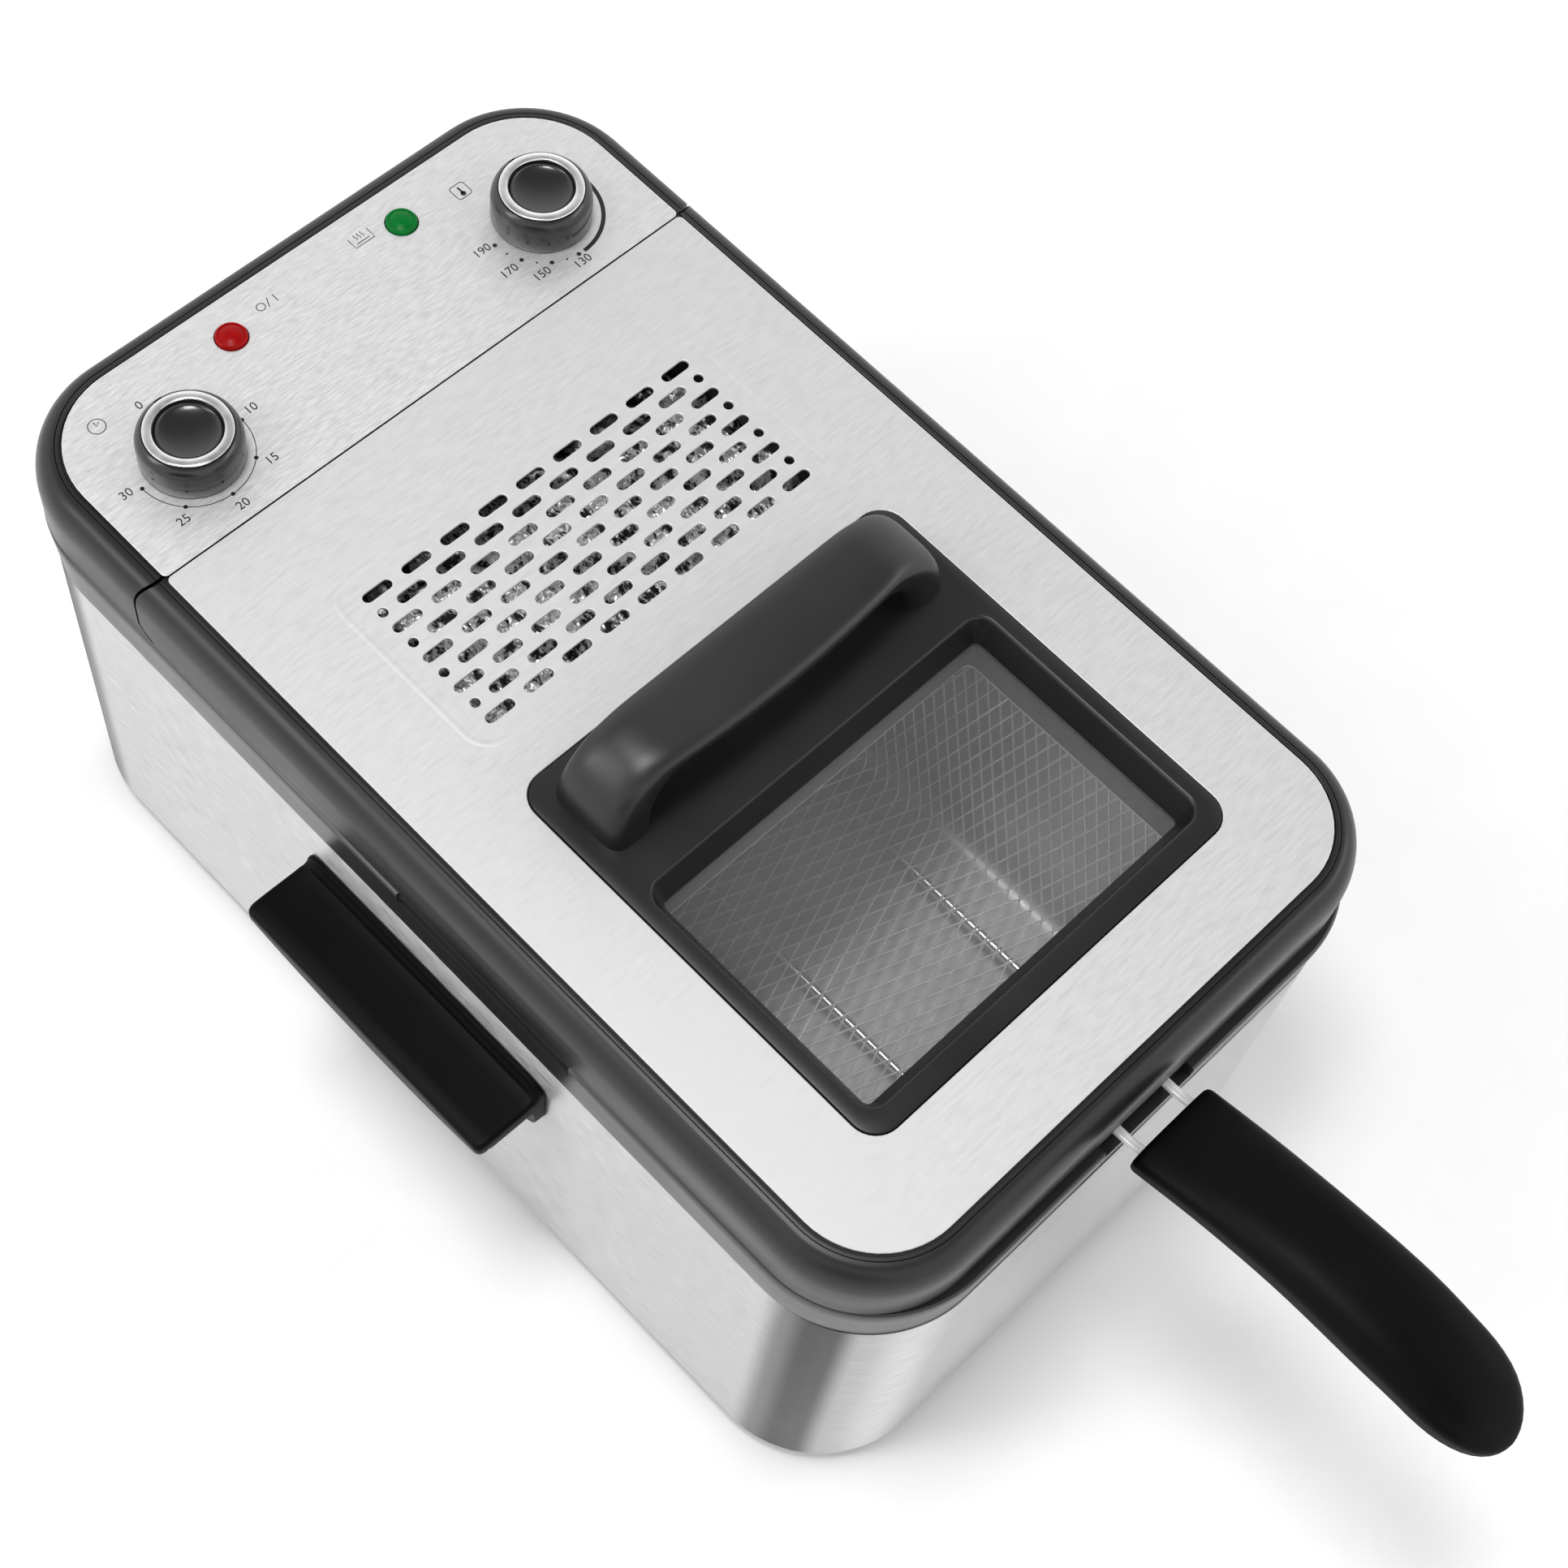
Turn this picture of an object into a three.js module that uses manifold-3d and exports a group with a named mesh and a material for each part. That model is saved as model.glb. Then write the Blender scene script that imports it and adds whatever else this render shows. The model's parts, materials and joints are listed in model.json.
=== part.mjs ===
// A lidded deep fryer: steel housing, oil pot, hinged lid with a window, wire basket and controls.
// Millimetres, +Z up. The basket grip points to -Y (front), the control panel is at +Y (rear).
import * as THREE from 'three';
import { mergeVertices } from 'three/addons/utils/BufferGeometryUtils.js';
import Module from 'manifold-3d';

const wasm = await Module();
wasm.setup();

// ---- driving dimensions -------------------------------------------------------------------
const GAP = 0.3;                 // between pieces that touch
const CORNER_STEPS = 4;          // three.js makes twice as many segments per arc as it is asked for

const FOOT_HEIGHT = 6;
const WALL = { x: 118.5, y: 203.3, r: 43, top: 151.7, thick: 1.2 };
const COLLAR = { bottom: 152, top: 174, flareX: 120, flareY: 204.2 };
const SEAM_Z = 174.5;            // lower edge of the lid
const PLATE_TOP = 202;           // upper face of the lid plate and of the control panel
const PLATE = { x: 109.9, front: -191.1, rear: 193.1, r: 30.5, thick: 1 };
const RIM_TOP = 201.6;
const RIM = { x: 119.6, front: -200.7, rear: 202.9, bevel: 8.5, bevelDrop: 12 };
const RIM_WALL = 4;

const HINGE = { y: 112, z: 192.2, pinR: 2.5, boreR: 2.6 };
const LID_REAR = 120;            // rear edge of the lid plate
const PANEL_FRONT = 121.1;       // front edge of the control panel
const BARREL_R = 12.65;          // round rear end of the lid, about the hinge axis
const BARREL_CLEARANCE = 1;
const HINGE_X = 96;              // middle of each hinge bracket, left and right

const POT = { cy: -44, x: 98, y: 141, r: 30, bottom: 34, seat: 168, thick: 1.5, draft: 5 };
const FLANGE = { x: 103, y: 146, thick: 1.2 };
const BASKET = { cy: -48, x: 88, y: 126, r: 24, bottom: 50, top: 160, thick: 1.5, draft: 8 };
const BASKET_RIM = { grow: 2, height: 3.2 };
const RUNNER_X = 60;
const STRAP = { x: 11.2, r: 1.8, y: -178.1, z: 172.2 };
const GRIP = { start: -211, tip: -343.5 };

const WINDOW = { x: 79.3, front: -159.8, rear: -7.1, r: 9, top: 202.4 };
const RECESS = { x: 73, front: -152, rear: -57, r: 6, inset: 4 };
const GLASS = { top: 192.7, thick: 2.7 };
const LINER = { z: 176.5, thick: 0.8 };
const FILTER = { x: 72, front: 8, rear: 84 };
const VENT = { pitchX: 16, pitchY: 14.25, firstY: 74.1, long: 11.2, wide: 3.6, rows: 5, columns: 9 };
const VENT_HOLE = { x: 67.8, wide: 3.4 };

const KNOB = { x: 74.5, y: 151, r: 17.3, height: 13.2 };
const LAMP = { x: 36.3, y: 178.5, r: 5.4 };
const SIDE_HANDLE = { front: -65, rear: 47, top: 130, reach: 28, lip: 12.5 };

// The whole model is moved so that its bounding box is centred on the origin.
const REAR_MOST = 206.5;
const SHIFT_Y = -(GRIP.tip + REAR_MOST) / 2;

// ---- materials ----------------------------------------------------------------------------
const finishes = {
  brushedSteel: { color: 0xc4c4c6, roughness: 0.34, metalness: 1 },
  mattSteel: { color: 0xd6d6d6, roughness: 0.5, metalness: 1 },
  potSteel: { color: 0x8c8c8e, roughness: 0.4, metalness: 1 },
  brightSteel: { color: 0xdedede, roughness: 0.16, metalness: 1 },
  darkSteel: { color: 0x77777a, roughness: 0.45, metalness: 1 },
  satinBlack: { color: 0x1c1c1d, roughness: 0.38, metalness: 0 },
  glossBlack: { color: 0x0e0e0f, roughness: 0.2, metalness: 0 },
  rubber: { color: 0x151515, roughness: 0.85, metalness: 0 },
  silicone: { color: 0x4a4a4c, roughness: 0.7, metalness: 0 },
  whitePlastic: { color: 0xe8e4da, roughness: 0.5, metalness: 0 },
  redLens: { color: 0xa80f10, roughness: 0.25, metalness: 0 },
  greenLens: { color: 0x0c7a35, roughness: 0.25, metalness: 0 },
  glass: { color: 0x9a9a9a, roughness: 0.05, metalness: 0, transparent: true, opacity: 0.4 },
};

function add(group, name, geometry, finish) {
  const mesh = new THREE.Mesh(geometry, new THREE.MeshStandardMaterial(finishes[finish]));
  mesh.name = name;
  group.add(mesh);
  return mesh;
}

// ---- shape helpers ------------------------------------------------------------------------
function toSolid(geometry) {
  const bare = geometry.clone();
  bare.deleteAttribute('normal');
  bare.deleteAttribute('uv');
  const merged = mergeVertices(bare, 1e-4);
  const vertProperties = new Float32Array(merged.attributes.position.array);
  const triVerts = new Uint32Array(merged.index.array);
  return new wasm.Manifold(new wasm.Mesh({ numProp: 3, vertProperties, triVerts }));
}

function toGeometry(solid) {
  const mesh = solid.getMesh();
  const geometry = new THREE.BufferGeometry();
  geometry.setAttribute('position', new THREE.BufferAttribute(new Float32Array(mesh.vertProperties), 3));
  geometry.setIndex(new THREE.BufferAttribute(new Uint32Array(mesh.triVerts), 1));
  return geometry;
}

function cut(base, ...tools) {
  let solid = toSolid(base);
  for (const tool of tools) solid = solid.subtract(toSolid(tool));
  return toGeometry(solid);
}

function join(base, ...others) {
  let solid = toSolid(base);
  for (const other of others) solid = solid.add(toSolid(other));
  return toGeometry(solid);
}

function common(base, other) {
  return toGeometry(toSolid(base).intersect(toSolid(other)));
}

function box(x0, x1, y0, y1, z0, z1) {
  const geometry = new THREE.BoxGeometry(x1 - x0, y1 - y0, z1 - z0);
  return geometry.translate((x0 + x1) / 2, (y0 + y1) / 2, (z0 + z1) / 2);
}

// A rectangle with round corners, centred on the axis. front and rear radii may differ.
function roundedRect(halfX, halfY, frontR, rearR = frontR) {
  const shape = new THREE.Shape();
  shape.absarc(halfX - rearR, halfY - rearR, rearR, 0, Math.PI / 2);
  shape.absarc(-halfX + rearR, halfY - rearR, rearR, Math.PI / 2, Math.PI);
  shape.absarc(-halfX + frontR, -halfY + frontR, frontR, Math.PI, 1.5 * Math.PI);
  shape.absarc(halfX - frontR, -halfY + frontR, frontR, 1.5 * Math.PI, 2 * Math.PI);
  shape.closePath();
  return shape;
}

// An upright block with that outline. draft pulls the bottom in by that much on every side.
function block(halfX, halfY, r, z0, z1, { cy = 0, draft = 0, rearR = r, steps = CORNER_STEPS } = {}) {
  const outline = roundedRect(halfX, halfY, r, rearR);
  const options = { depth: z1 - z0, bevelEnabled: false, curveSegments: steps };
  const geometry = new THREE.ExtrudeGeometry(outline, options).translate(0, 0, z0);
  const position = geometry.attributes.position;
  for (let i = 0; i < position.count; i++) {
    if (position.getZ(i) < (z0 + z1) / 2) {
      position.setX(i, position.getX(i) * (1 - draft / halfX));
      position.setY(i, position.getY(i) * (1 - draft / halfY));
    }
  }
  return geometry.translate(0, cy, 0);
}

// A shape drawn in the Y-Z plane, pushed along X.
function alongX(shape, x0, x1, curveSegments = 4) {
  const geometry = new THREE.ExtrudeGeometry(shape, { depth: x1 - x0, bevelEnabled: false, curveSegments });
  const axes = new THREE.Matrix4().makeBasis(
    new THREE.Vector3(0, 1, 0), new THREE.Vector3(0, 0, 1), new THREE.Vector3(1, 0, 0));
  return geometry.applyMatrix4(axes).translate(x0, 0, 0);
}

// A shape drawn in the X-Z plane, pushed along Y, with round edges of the given size at both ends.
function alongY(shape, y0, y1, bevel = 0, curveSegments = 6) {
  const options = {
    depth: y1 - y0 - 2 * bevel, bevelEnabled: bevel > 0, bevelSize: bevel,
    bevelThickness: bevel, bevelSegments: 2, curveSegments,
  };
  const geometry = new THREE.ExtrudeGeometry(shape, options);
  const axes = new THREE.Matrix4().makeBasis(
    new THREE.Vector3(1, 0, 0), new THREE.Vector3(0, 0, 1), new THREE.Vector3(0, -1, 0));
  return geometry.applyMatrix4(axes).translate(0, y1 - bevel, 0);
}

function polygon(points) {
  return new THREE.Shape(points.map(([u, v]) => new THREE.Vector2(u, v)));
}

// A turned piece about Z. The profile is [radius, height] pairs.
function turned(profile, segments = 24) {
  const geometry = new THREE.LatheGeometry(profile.map(([r, z]) => new THREE.Vector2(r, z)), segments);
  return geometry.rotateX(Math.PI / 2);
}

function rod(r, z0, z1, segments = 16) {
  return turned([[0, z0], [r, z0], [r, z1], [0, z1]], segments);
}

function rodAlongX(r, x0, x1, y, z, segments = 16) {
  return rod(r, x0, x1, segments).rotateY(Math.PI / 2).translate(0, y, z);
}

// A round bar along a smooth curve through the points.
function bar(points, r, steps, halfSides = 4) {
  const curve = new THREE.CatmullRomCurve3(points.map(([x, y, z]) => new THREE.Vector3(x, y, z)));
  const section = new THREE.Shape();
  section.absarc(0, 0, r, 0, 2 * Math.PI);
  const options = { steps, extrudePath: curve, bevelEnabled: false, curveSegments: halfSides };
  return new THREE.ExtrudeGeometry(section, options);
}

// ---- the lid and control housing share one rim -------------------------------------------
const RIM_CY = (RIM.front + RIM.rear) / 2;
const RIM_HALF_Y = (RIM.rear - RIM.front) / 2;
const PLATE_CY = (PLATE.front + PLATE.rear) / 2;
const PLATE_HALF_Y = (PLATE.rear - PLATE.front) / 2;

// Full-length block with a round upper edge. Its lower half is cut off at zBottom.
function rimBlock(zBottom) {
  const outline = roundedRect(RIM.x - RIM.bevel, RIM_HALF_Y - RIM.bevel, 31.5);
  const options = {
    depth: 40, bevelEnabled: true, bevelSize: RIM.bevel, bevelThickness: RIM.bevelDrop,
    bevelSegments: 5, curveSegments: CORNER_STEPS,
  };
  const whole = new THREE.ExtrudeGeometry(outline, options);
  whole.translate(0, RIM_CY, RIM_TOP - RIM.bevelDrop - options.depth);
  return common(whole, box(-130, 130, -215, 215, zBottom, RIM_TOP + 1));
}

function rimHollow(z1) {
  const r = 40 - RIM_WALL;
  return block(RIM.x - RIM_WALL, RIM_HALF_Y - RIM_WALL, r, 160, z1, { cy: RIM_CY });
}

function plateBlock(grow, z0, z1) {
  const r = PLATE.r + grow;
  return block(PLATE.x + grow, PLATE_HALF_Y + grow, r, z0, z1, { cy: PLATE_CY });
}

// Side outline of the lid: flat underneath, with a round rear end about the hinge axis.
function lidSideOutline() {
  const lowR = HINGE.z - SEAM_Z;
  const shape = new THREE.Shape();
  shape.moveTo(-230, SEAM_Z);
  shape.lineTo(HINGE.y, SEAM_Z);
  shape.absarc(HINGE.y, HINGE.z, lowR, -Math.PI / 2, -Math.acos(BARREL_R / lowR));
  shape.absarc(HINGE.y, HINGE.z, BARREL_R, 0, Math.asin((RIM_TOP - HINGE.z) / BARREL_R));
  shape.lineTo(-230, RIM_TOP);
  shape.closePath();
  return shape;
}

// What the control housing leaves free for the lid to turn in.
function lidSweepOutline() {
  const r = BARREL_R + BARREL_CLEARANCE;
  const lowR = HINGE.z - SEAM_Z + BARREL_CLEARANCE;
  const shape = new THREE.Shape();
  shape.moveTo(-230, 150);
  shape.lineTo(HINGE.y, 150);
  shape.absarc(HINGE.y, HINGE.z, lowR, -Math.PI / 2, -Math.acos(r / lowR));
  shape.absarc(HINGE.y, HINGE.z, r, 0, Math.asin((PLATE_TOP - HINGE.z) / r));
  shape.lineTo(HINGE.y + 5, 215);
  shape.lineTo(-230, 215);
  shape.closePath();
  return shape;
}

// ---- housing ------------------------------------------------------------------------------
const housing = new THREE.Group();

function outerShell() {
  const inner = { x: WALL.x - WALL.thick, y: WALL.y - WALL.thick, r: WALL.r - WALL.thick };
  const holes = [-1, 1].flatMap((side) => handleScrewYs.map((y) => (
    rodAlongX(2.4, side * 115 - 6, side * 115 + 6, y, SIDE_HANDLE.top - 12))));
  return cut(
    block(WALL.x, WALL.y, WALL.r, FOOT_HEIGHT + GAP, WALL.top),
    block(inner.x, inner.y, inner.r, 0, 200),
    box(-14, 14, 195, 210, 26, 50),
    ...holes);
}

const footSpots = [
  ['front_left', -82, -166], ['front_right', 82, -166],
  ['rear_left', -82, 166], ['rear_right', 82, 166],
];
const handleScrewYs = [SIDE_HANDLE.front + 22, SIDE_HANDLE.rear - 22];

function basePlate() {
  const edge = WALL.thick + GAP + 0.1;
  const z0 = FOOT_HEIGHT + GAP;
  const plate = block(WALL.x - edge, WALL.y - edge, WALL.r - edge, z0, z0 + 3);
  const holes = footSpots.map(([, x, y]) => rod(2.3, 0, 20).translate(x, y, 0));
  const airSlots = [-2, -1, 0, 1, 2].map((i) => box(-30, 30, i * 14 - 2.5, i * 14 + 2.5, 0, 20));
  return cut(plate, ...holes, ...airSlots);
}

function foot() {
  const outside = [[5, 0], [8.4, 0], [9, 1], [9.6, FOOT_HEIGHT]];
  const screwHole = [[2.3, FOOT_HEIGHT], [2.3, 2.6], [5, 2.6], [5, 0]];
  return turned([...outside, ...screwHole], 16);
}

function baseScrew() {
  return turned([[0, 0.4], [4.2, 0.4], [4.2, 2.3], [2, 2.3], [2, 12.5], [0, 12.5]], 12);
}

function rimCollar() {
  const { bottom, top } = COLLAR;
  const flare = COLLAR.flareX - WALL.x;
  const band = block(COLLAR.flareX, COLLAR.flareY, WALL.r + flare, bottom, top, { draft: flare });
  const skirt = block(WALL.x - 1.7, WALL.y - 1.7, WALL.r - 1.7, bottom - 10, bottom + 1);
  const seat = block(FLANGE.x + 0.6, FLANGE.y + 0.6, POT.r + 5.6, POT.seat, top + 5, { cy: POT.cy });
  const mouth = block(POT.x + 0.7, POT.y + 0.7, POT.r + 0.7, 130, top + 5, { cy: POT.cy });
  const below = block(POT.x + 10, POT.y + 10, POT.r + 8, 130, POT.seat - 5, { cy: POT.cy - 2 });
  const controlBay = block(104, 36, 22, 130, top + 5, { cy: 160 });
  const strapNotch = box(-20, 20, -215, POT.cy - POT.y, POT.seat + 0.5, top + 5);
  const fingerRecess = [-1, 1].map((side) => (
    box(side * 119.6 - 1.6, side * 119.6 + 1.6, -76, 2, top - 6, top + 5)));
  return cut(join(band, skirt), seat, mouth, below, controlBay, strapNotch, ...fingerRecess);
}

function innerPot() {
  const { cy, x, y, r, bottom, seat, thick, draft } = POT;
  const wall = block(x, y, r, bottom, seat + GAP + FLANGE.thick, { cy, draft });
  const flange = block(FLANGE.x, FLANGE.y, r + 5, seat + GAP, seat + GAP + FLANGE.thick, { cy });
  const inside = block(x - thick, y - thick, r - thick, bottom + thick, seat + 3, { cy, draft });
  return cut(join(wall, flange), inside);
}

function heatingElement() {
  const z = POT.bottom - GAP - 3.4;
  const half = [[22, 122], [28, 96], [58, 60], [62, -20], [60, -110], [36, -146]];
  const left = half.map(([x, y]) => [-x, y, z]);
  const right = half.map(([x, y]) => [x, y, z]).reverse();
  return bar([...left, ...right], 3.2, 44);
}

function thermostatSensor() {
  const bulb = rodAlongX(3, -36, 20, 100.6, 52, 12);
  const capillary = [[18, 100.6, 52], [34, 101.5, 58], [52, 110, 84], [66, 126, 130], [70, 140, 158]];
  return join(bulb, bar(capillary, 1.1, 16, 3));
}

function safetyCutout() {
  const body = rod(12, 0, 8, 20).rotateX(-Math.PI / 2).translate(-62, 98.5, 92);
  const tabs = [-1, 1].map((side) => box(-62 + side * 6 - 3, -62 + side * 6 + 3, 106, 116, 91.5, 92.5));
  return join(body, ...tabs);
}

function terminalBlock() {
  const body = box(-26, 26, 168, 184, FOOT_HEIGHT + 3.6, FOOT_HEIGHT + 20);
  const ways = [-1, 0, 1].map((i) => (
    box(i * 16 - 5, i * 16 + 5, 160, 190, FOOT_HEIGHT + 11, FOOT_HEIGHT + 15)));
  return cut(body, ...ways);
}

function cordInlet() {
  const flange = box(-19, 19, WALL.y + GAP, REAR_MOST, 20, 56);
  const body = box(-13.5, 13.5, 182, WALL.y + 1, 26.5, 49.5);
  const socket = box(-11, 11, 188, 220, 29, 47);
  const pins = [[-6, 36], [0, 41], [6, 36]].map(([x, z]) => box(x - 1, x + 1, 187, 202, z - 2, z + 2));
  return join(cut(join(flange, body), socket), ...pins);
}

// An upside-down channel: a flange on the wall, a flat top, and a lip for the fingers.
function sideHandle(side) {
  const bevel = 1.5;
  const wallX = WALL.x + GAP + bevel;
  const outX = WALL.x + SIDE_HANDLE.reach - bevel;
  const top = SIDE_HANDLE.top;
  const lipEnd = top - SIDE_HANDLE.lip;
  const section = [
    [wallX, top - 24], [wallX, top + 3], [wallX + 2, top + 3], [wallX + 4, top - bevel],
    [outX, top - bevel], [outX, lipEnd], [outX - 2, lipEnd], [outX - 3, top - 6],
    [wallX + 3, top - 6], [wallX + 2, top - 24],
  ];
  const placed = section.map(([x, z]) => [side * x, z]);
  if (side > 0) placed.reverse();
  const handle = alongY(polygon(placed), SIDE_HANDLE.front, SIDE_HANDLE.rear, bevel);
  const inner = side * (WALL.x + GAP);
  const holes = handleScrewYs.map((y) => rodAlongX(2.3, inner - 4, inner + 4, y, top - 12));
  return cut(handle, ...holes);
}

function handleScrew(side, y) {
  const z = SIDE_HANDLE.top - 12;
  const head = WALL.x - WALL.thick - GAP;
  const span = (a, b) => (side > 0 ? [a, b] : [-b, -a]);
  return join(
    rodAlongX(4, ...span(head - 2.6, head), y, z, 12),
    rodAlongX(2, ...span(head - 1, WALL.x + 3.6), y, z, 12));
}

function controlHousing() {
  const deck = 198.6;
  const hollow = common(rimHollow(deck), box(-130, 130, HINGE.y + 17.6, 215, 150, 205));
  const panelSeat = common(plateBlock(0.6, 200.9, 205), box(-130, 130, 100, 215, 190, 210));
  const holes = [
    ...[-1, 1].map((side) => rod(4, 190, 205).translate(side * KNOB.x, KNOB.y, 0)),
    ...[-1, 1].map((side) => rod(LAMP.r + 0.4, 190, 205, 20).translate(side * LAMP.x, LAMP.y, 0)),
  ];
  return cut(rimBlock(COLLAR.top + GAP), alongX(lidSweepOutline(), -130, 130), hollow, panelSeat, ...holes);
}

function controlPanel() {
  const sheet = plateBlock(0, PLATE_TOP - 0.8, PLATE_TOP);
  const holes = [
    ...[-1, 1].map((side) => rod(4, 190, 205).translate(side * KNOB.x, KNOB.y, 0)),
    ...[-1, 1].map((side) => rod(LAMP.r + 0.4, 190, 205, 20).translate(side * LAMP.x, LAMP.y, 0)),
  ];
  return cut(sheet, box(-130, 130, -215, PANEL_FRONT, 190, 210), ...holes);
}

function switchUnit(side, depth) {
  const x = side * KNOB.x;
  const body = box(x - 20, x + 20, KNOB.y - 18, KNOB.y + 20, 198.3 - depth, 198.3);
  const legs = [-1, 1].map((i) => (
    box(x + i * 10 - 3, x + i * 10 + 3, KNOB.y + 8, KNOB.y + 9, 190 - depth, 199 - depth)));
  return cut(join(body, ...legs), rod(3.1, 100, 220).translate(x, KNOB.y, 0));
}

function lampLens() {
  const { r } = LAMP;
  return turned([[0, -2.8], [r, -2.8], [r, 1.1], [r - 0.7, 1.7], [r * 0.6, 2.1], [0, 2.2]], 16);
}

function lampHolder() {
  return turned([[0, -22], [1.5, -22], [1.5, -16], [4.6, -15], [4.6, -3.2], [0, -3.2]], 12);
}

function hingeBracket(side) {
  const x = side * HINGE_X;
  const post = box(x - 4, x + 4, HINGE.y - 4.8, HINGE.y + 4.8, COLLAR.top + GAP, HINGE.z + 5);
  const base = box(x - 4, x + 4, HINGE.y - 10, HINGE.y + 4.8, COLLAR.top + GAP, COLLAR.top + 1.8);
  return cut(join(post, base), rodAlongX(HINGE.boreR + 0.2, x - 8, x + 8, HINGE.y, HINGE.z));
}

add(housing, 'outer_shell', outerShell(), 'brushedSteel');
add(housing, 'base_plate', basePlate(), 'satinBlack');
for (const [name, x, y] of footSpots) {
  add(housing, `foot_${name}`, foot(), 'rubber').position.set(x, y, 0);
  add(housing, `base_screw_${name}`, baseScrew(), 'darkSteel').position.set(x, y, 0);
}
add(housing, 'rim_collar', rimCollar(), 'satinBlack');
add(housing, 'inner_pot', innerPot(), 'potSteel');
add(housing, 'heating_element', heatingElement(), 'darkSteel');
add(housing, 'thermostat_sensor', thermostatSensor(), 'brightSteel');
add(housing, 'safety_cutout', safetyCutout(), 'satinBlack');
add(housing, 'terminal_block', terminalBlock(), 'whitePlastic');
add(housing, 'cord_inlet', cordInlet(), 'satinBlack');
add(housing, 'control_housing', controlHousing(), 'satinBlack');
add(housing, 'control_panel', controlPanel(), 'brushedSteel');
add(housing, 'timer_unit', switchUnit(-1, 30), 'whitePlastic');
add(housing, 'thermostat_unit', switchUnit(1, 22), 'darkSteel');
for (const [colour, side] of [['red', -1], ['green', 1]]) {
  const lens = add(housing, `${colour}_lamp_lens`, lampLens(), `${colour}Lens`);
  lens.position.set(side * LAMP.x, LAMP.y, PLATE_TOP);
  const holder = add(housing, `${colour}_lamp_holder`, lampHolder(), 'whitePlastic');
  holder.position.set(side * LAMP.x, LAMP.y, PLATE_TOP);
}
for (const [word, side] of [['left', -1], ['right', 1]]) {
  add(housing, `side_handle_${word}`, sideHandle(side), 'glossBlack');
  add(housing, `handle_screw_${word}_front`, handleScrew(side, handleScrewYs[0]), 'darkSteel');
  add(housing, `handle_screw_${word}_rear`, handleScrew(side, handleScrewYs[1]), 'darkSteel');
  add(housing, `hinge_bracket_${word}`, hingeBracket(side), 'darkSteel');
  const x = side * HINGE_X;
  add(housing, `hinge_pin_${word}`, rodAlongX(HINGE.pinR, x - 11, x + 11, HINGE.y, HINGE.z), 'brightSteel');
}

// ---- lid ----------------------------------------------------------------------------------
const lid = new THREE.Group();
const WINDOW_CY = (WINDOW.front + WINDOW.rear) / 2;
const WINDOW_HALF_Y = (WINDOW.rear - WINDOW.front) / 2;
const RECESS_CY = (RECESS.front + RECESS.rear) / 2;
const RECESS_HALF_Y = (RECESS.rear - RECESS.front) / 2;
const HANDLE_ARCH = { x: 72, rise: 28, front: -42, rear: -14, thick: 8 };

function windowBlock(grow, z0, z1) {
  return block(WINDOW.x + grow, WINDOW_HALF_Y + grow, WINDOW.r + grow, z0, z1, { cy: WINDOW_CY, steps: 3 });
}

function recessBlock(grow, z0, z1, draft = 0) {
  const r = RECESS.r + grow;
  return block(RECESS.x + grow, RECESS_HALF_Y + grow, r, z0, z1, { cy: RECESS_CY, steps: 3, draft });
}

function lidFrame() {
  const ceiling = 198.2;
  const lip = 8;
  const shell = common(rimBlock(SEAM_Z), alongX(lidSideOutline(), -130, 130));
  const hollow = common(rimHollow(ceiling), box(-130, 130, -215, 121.4, 150, 205));
  const plateSeat = common(
    plateBlock(0.6, PLATE_TOP - PLATE.thick - GAP, 205),
    box(-130, 130, -215, LID_REAR + 4, 190, 210));
  const topOpening = common(plateBlock(-lip, 190, 205), box(-130, 130, -215, 96, 190, 210));
  const ears = [-1, 1].flatMap((side) => [-7.6, 7.6].map((offset) => {
    const x = side * HINGE_X + offset;
    return box(x - 2.9, x + 2.9, HINGE.y - 8, HINGE.y + 10.5, HINGE.z - 8, ceiling + 0.5);
  }));
  const pockets = [-1, 1].map((side) => {
    const x = side * HINGE_X;
    return box(x - 4.5, x + 4.5, HINGE.y - 12, HINGE.y + 20, 160, HINGE.z + 7);
  });
  const bores = [-1, 1].map((side) => {
    const x = side * HINGE_X;
    return rodAlongX(HINGE.boreR, x - 14, x + 14, HINGE.y, HINGE.z);
  });
  return cut(join(cut(shell, hollow, plateSeat, topOpening), ...ears), ...pockets, ...bores);
}

function capsule(x, y, long, wide) {
  const half = (long - wide) / 2;
  const shape = new THREE.Shape();
  shape.absarc(x + half, y, wide / 2, -Math.PI / 2, Math.PI / 2);
  shape.absarc(x - half, y, wide / 2, Math.PI / 2, 1.5 * Math.PI);
  shape.closePath();
  return shape;
}

// Rows of slots, with shifted rows between them that end in a small round hole each side.
function ventShapes() {
  const shapes = [];
  const { pitchX, pitchY, firstY, long, wide, rows, columns } = VENT;
  for (let row = 0; row < rows; row++) {
    for (let column = 0; column < columns; column++) {
      shapes.push(capsule((column - (columns - 1) / 2) * pitchX, firstY - row * pitchY, long, wide));
    }
  }
  for (let row = 0; row < rows - 1; row++) {
    const y = firstY - (row + 0.5) * pitchY;
    for (let column = 0; column < columns - 1; column++) {
      shapes.push(capsule((column - (columns - 2) / 2) * pitchX, y, long, wide));
    }
    for (const side of [-1, 1]) {
      shapes.push(capsule(side * VENT_HOLE.x, y, VENT_HOLE.wide + 0.02, VENT_HOLE.wide));
    }
  }
  return shapes;
}

function lidPlate() {
  const z0 = PLATE_TOP - PLATE.thick;
  const sheet = cut(
    plateBlock(0, z0, PLATE_TOP),
    box(-130, 130, LID_REAR, 215, 190, 210),
    windowBlock(0.4, 190, 210));
  const options = { depth: 6, bevelEnabled: false, curveSegments: 1 };
  const vents = new THREE.ExtrudeGeometry(ventShapes(), options).translate(0, 0, z0 - 2);
  return cut(sheet, vents);
}

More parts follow.
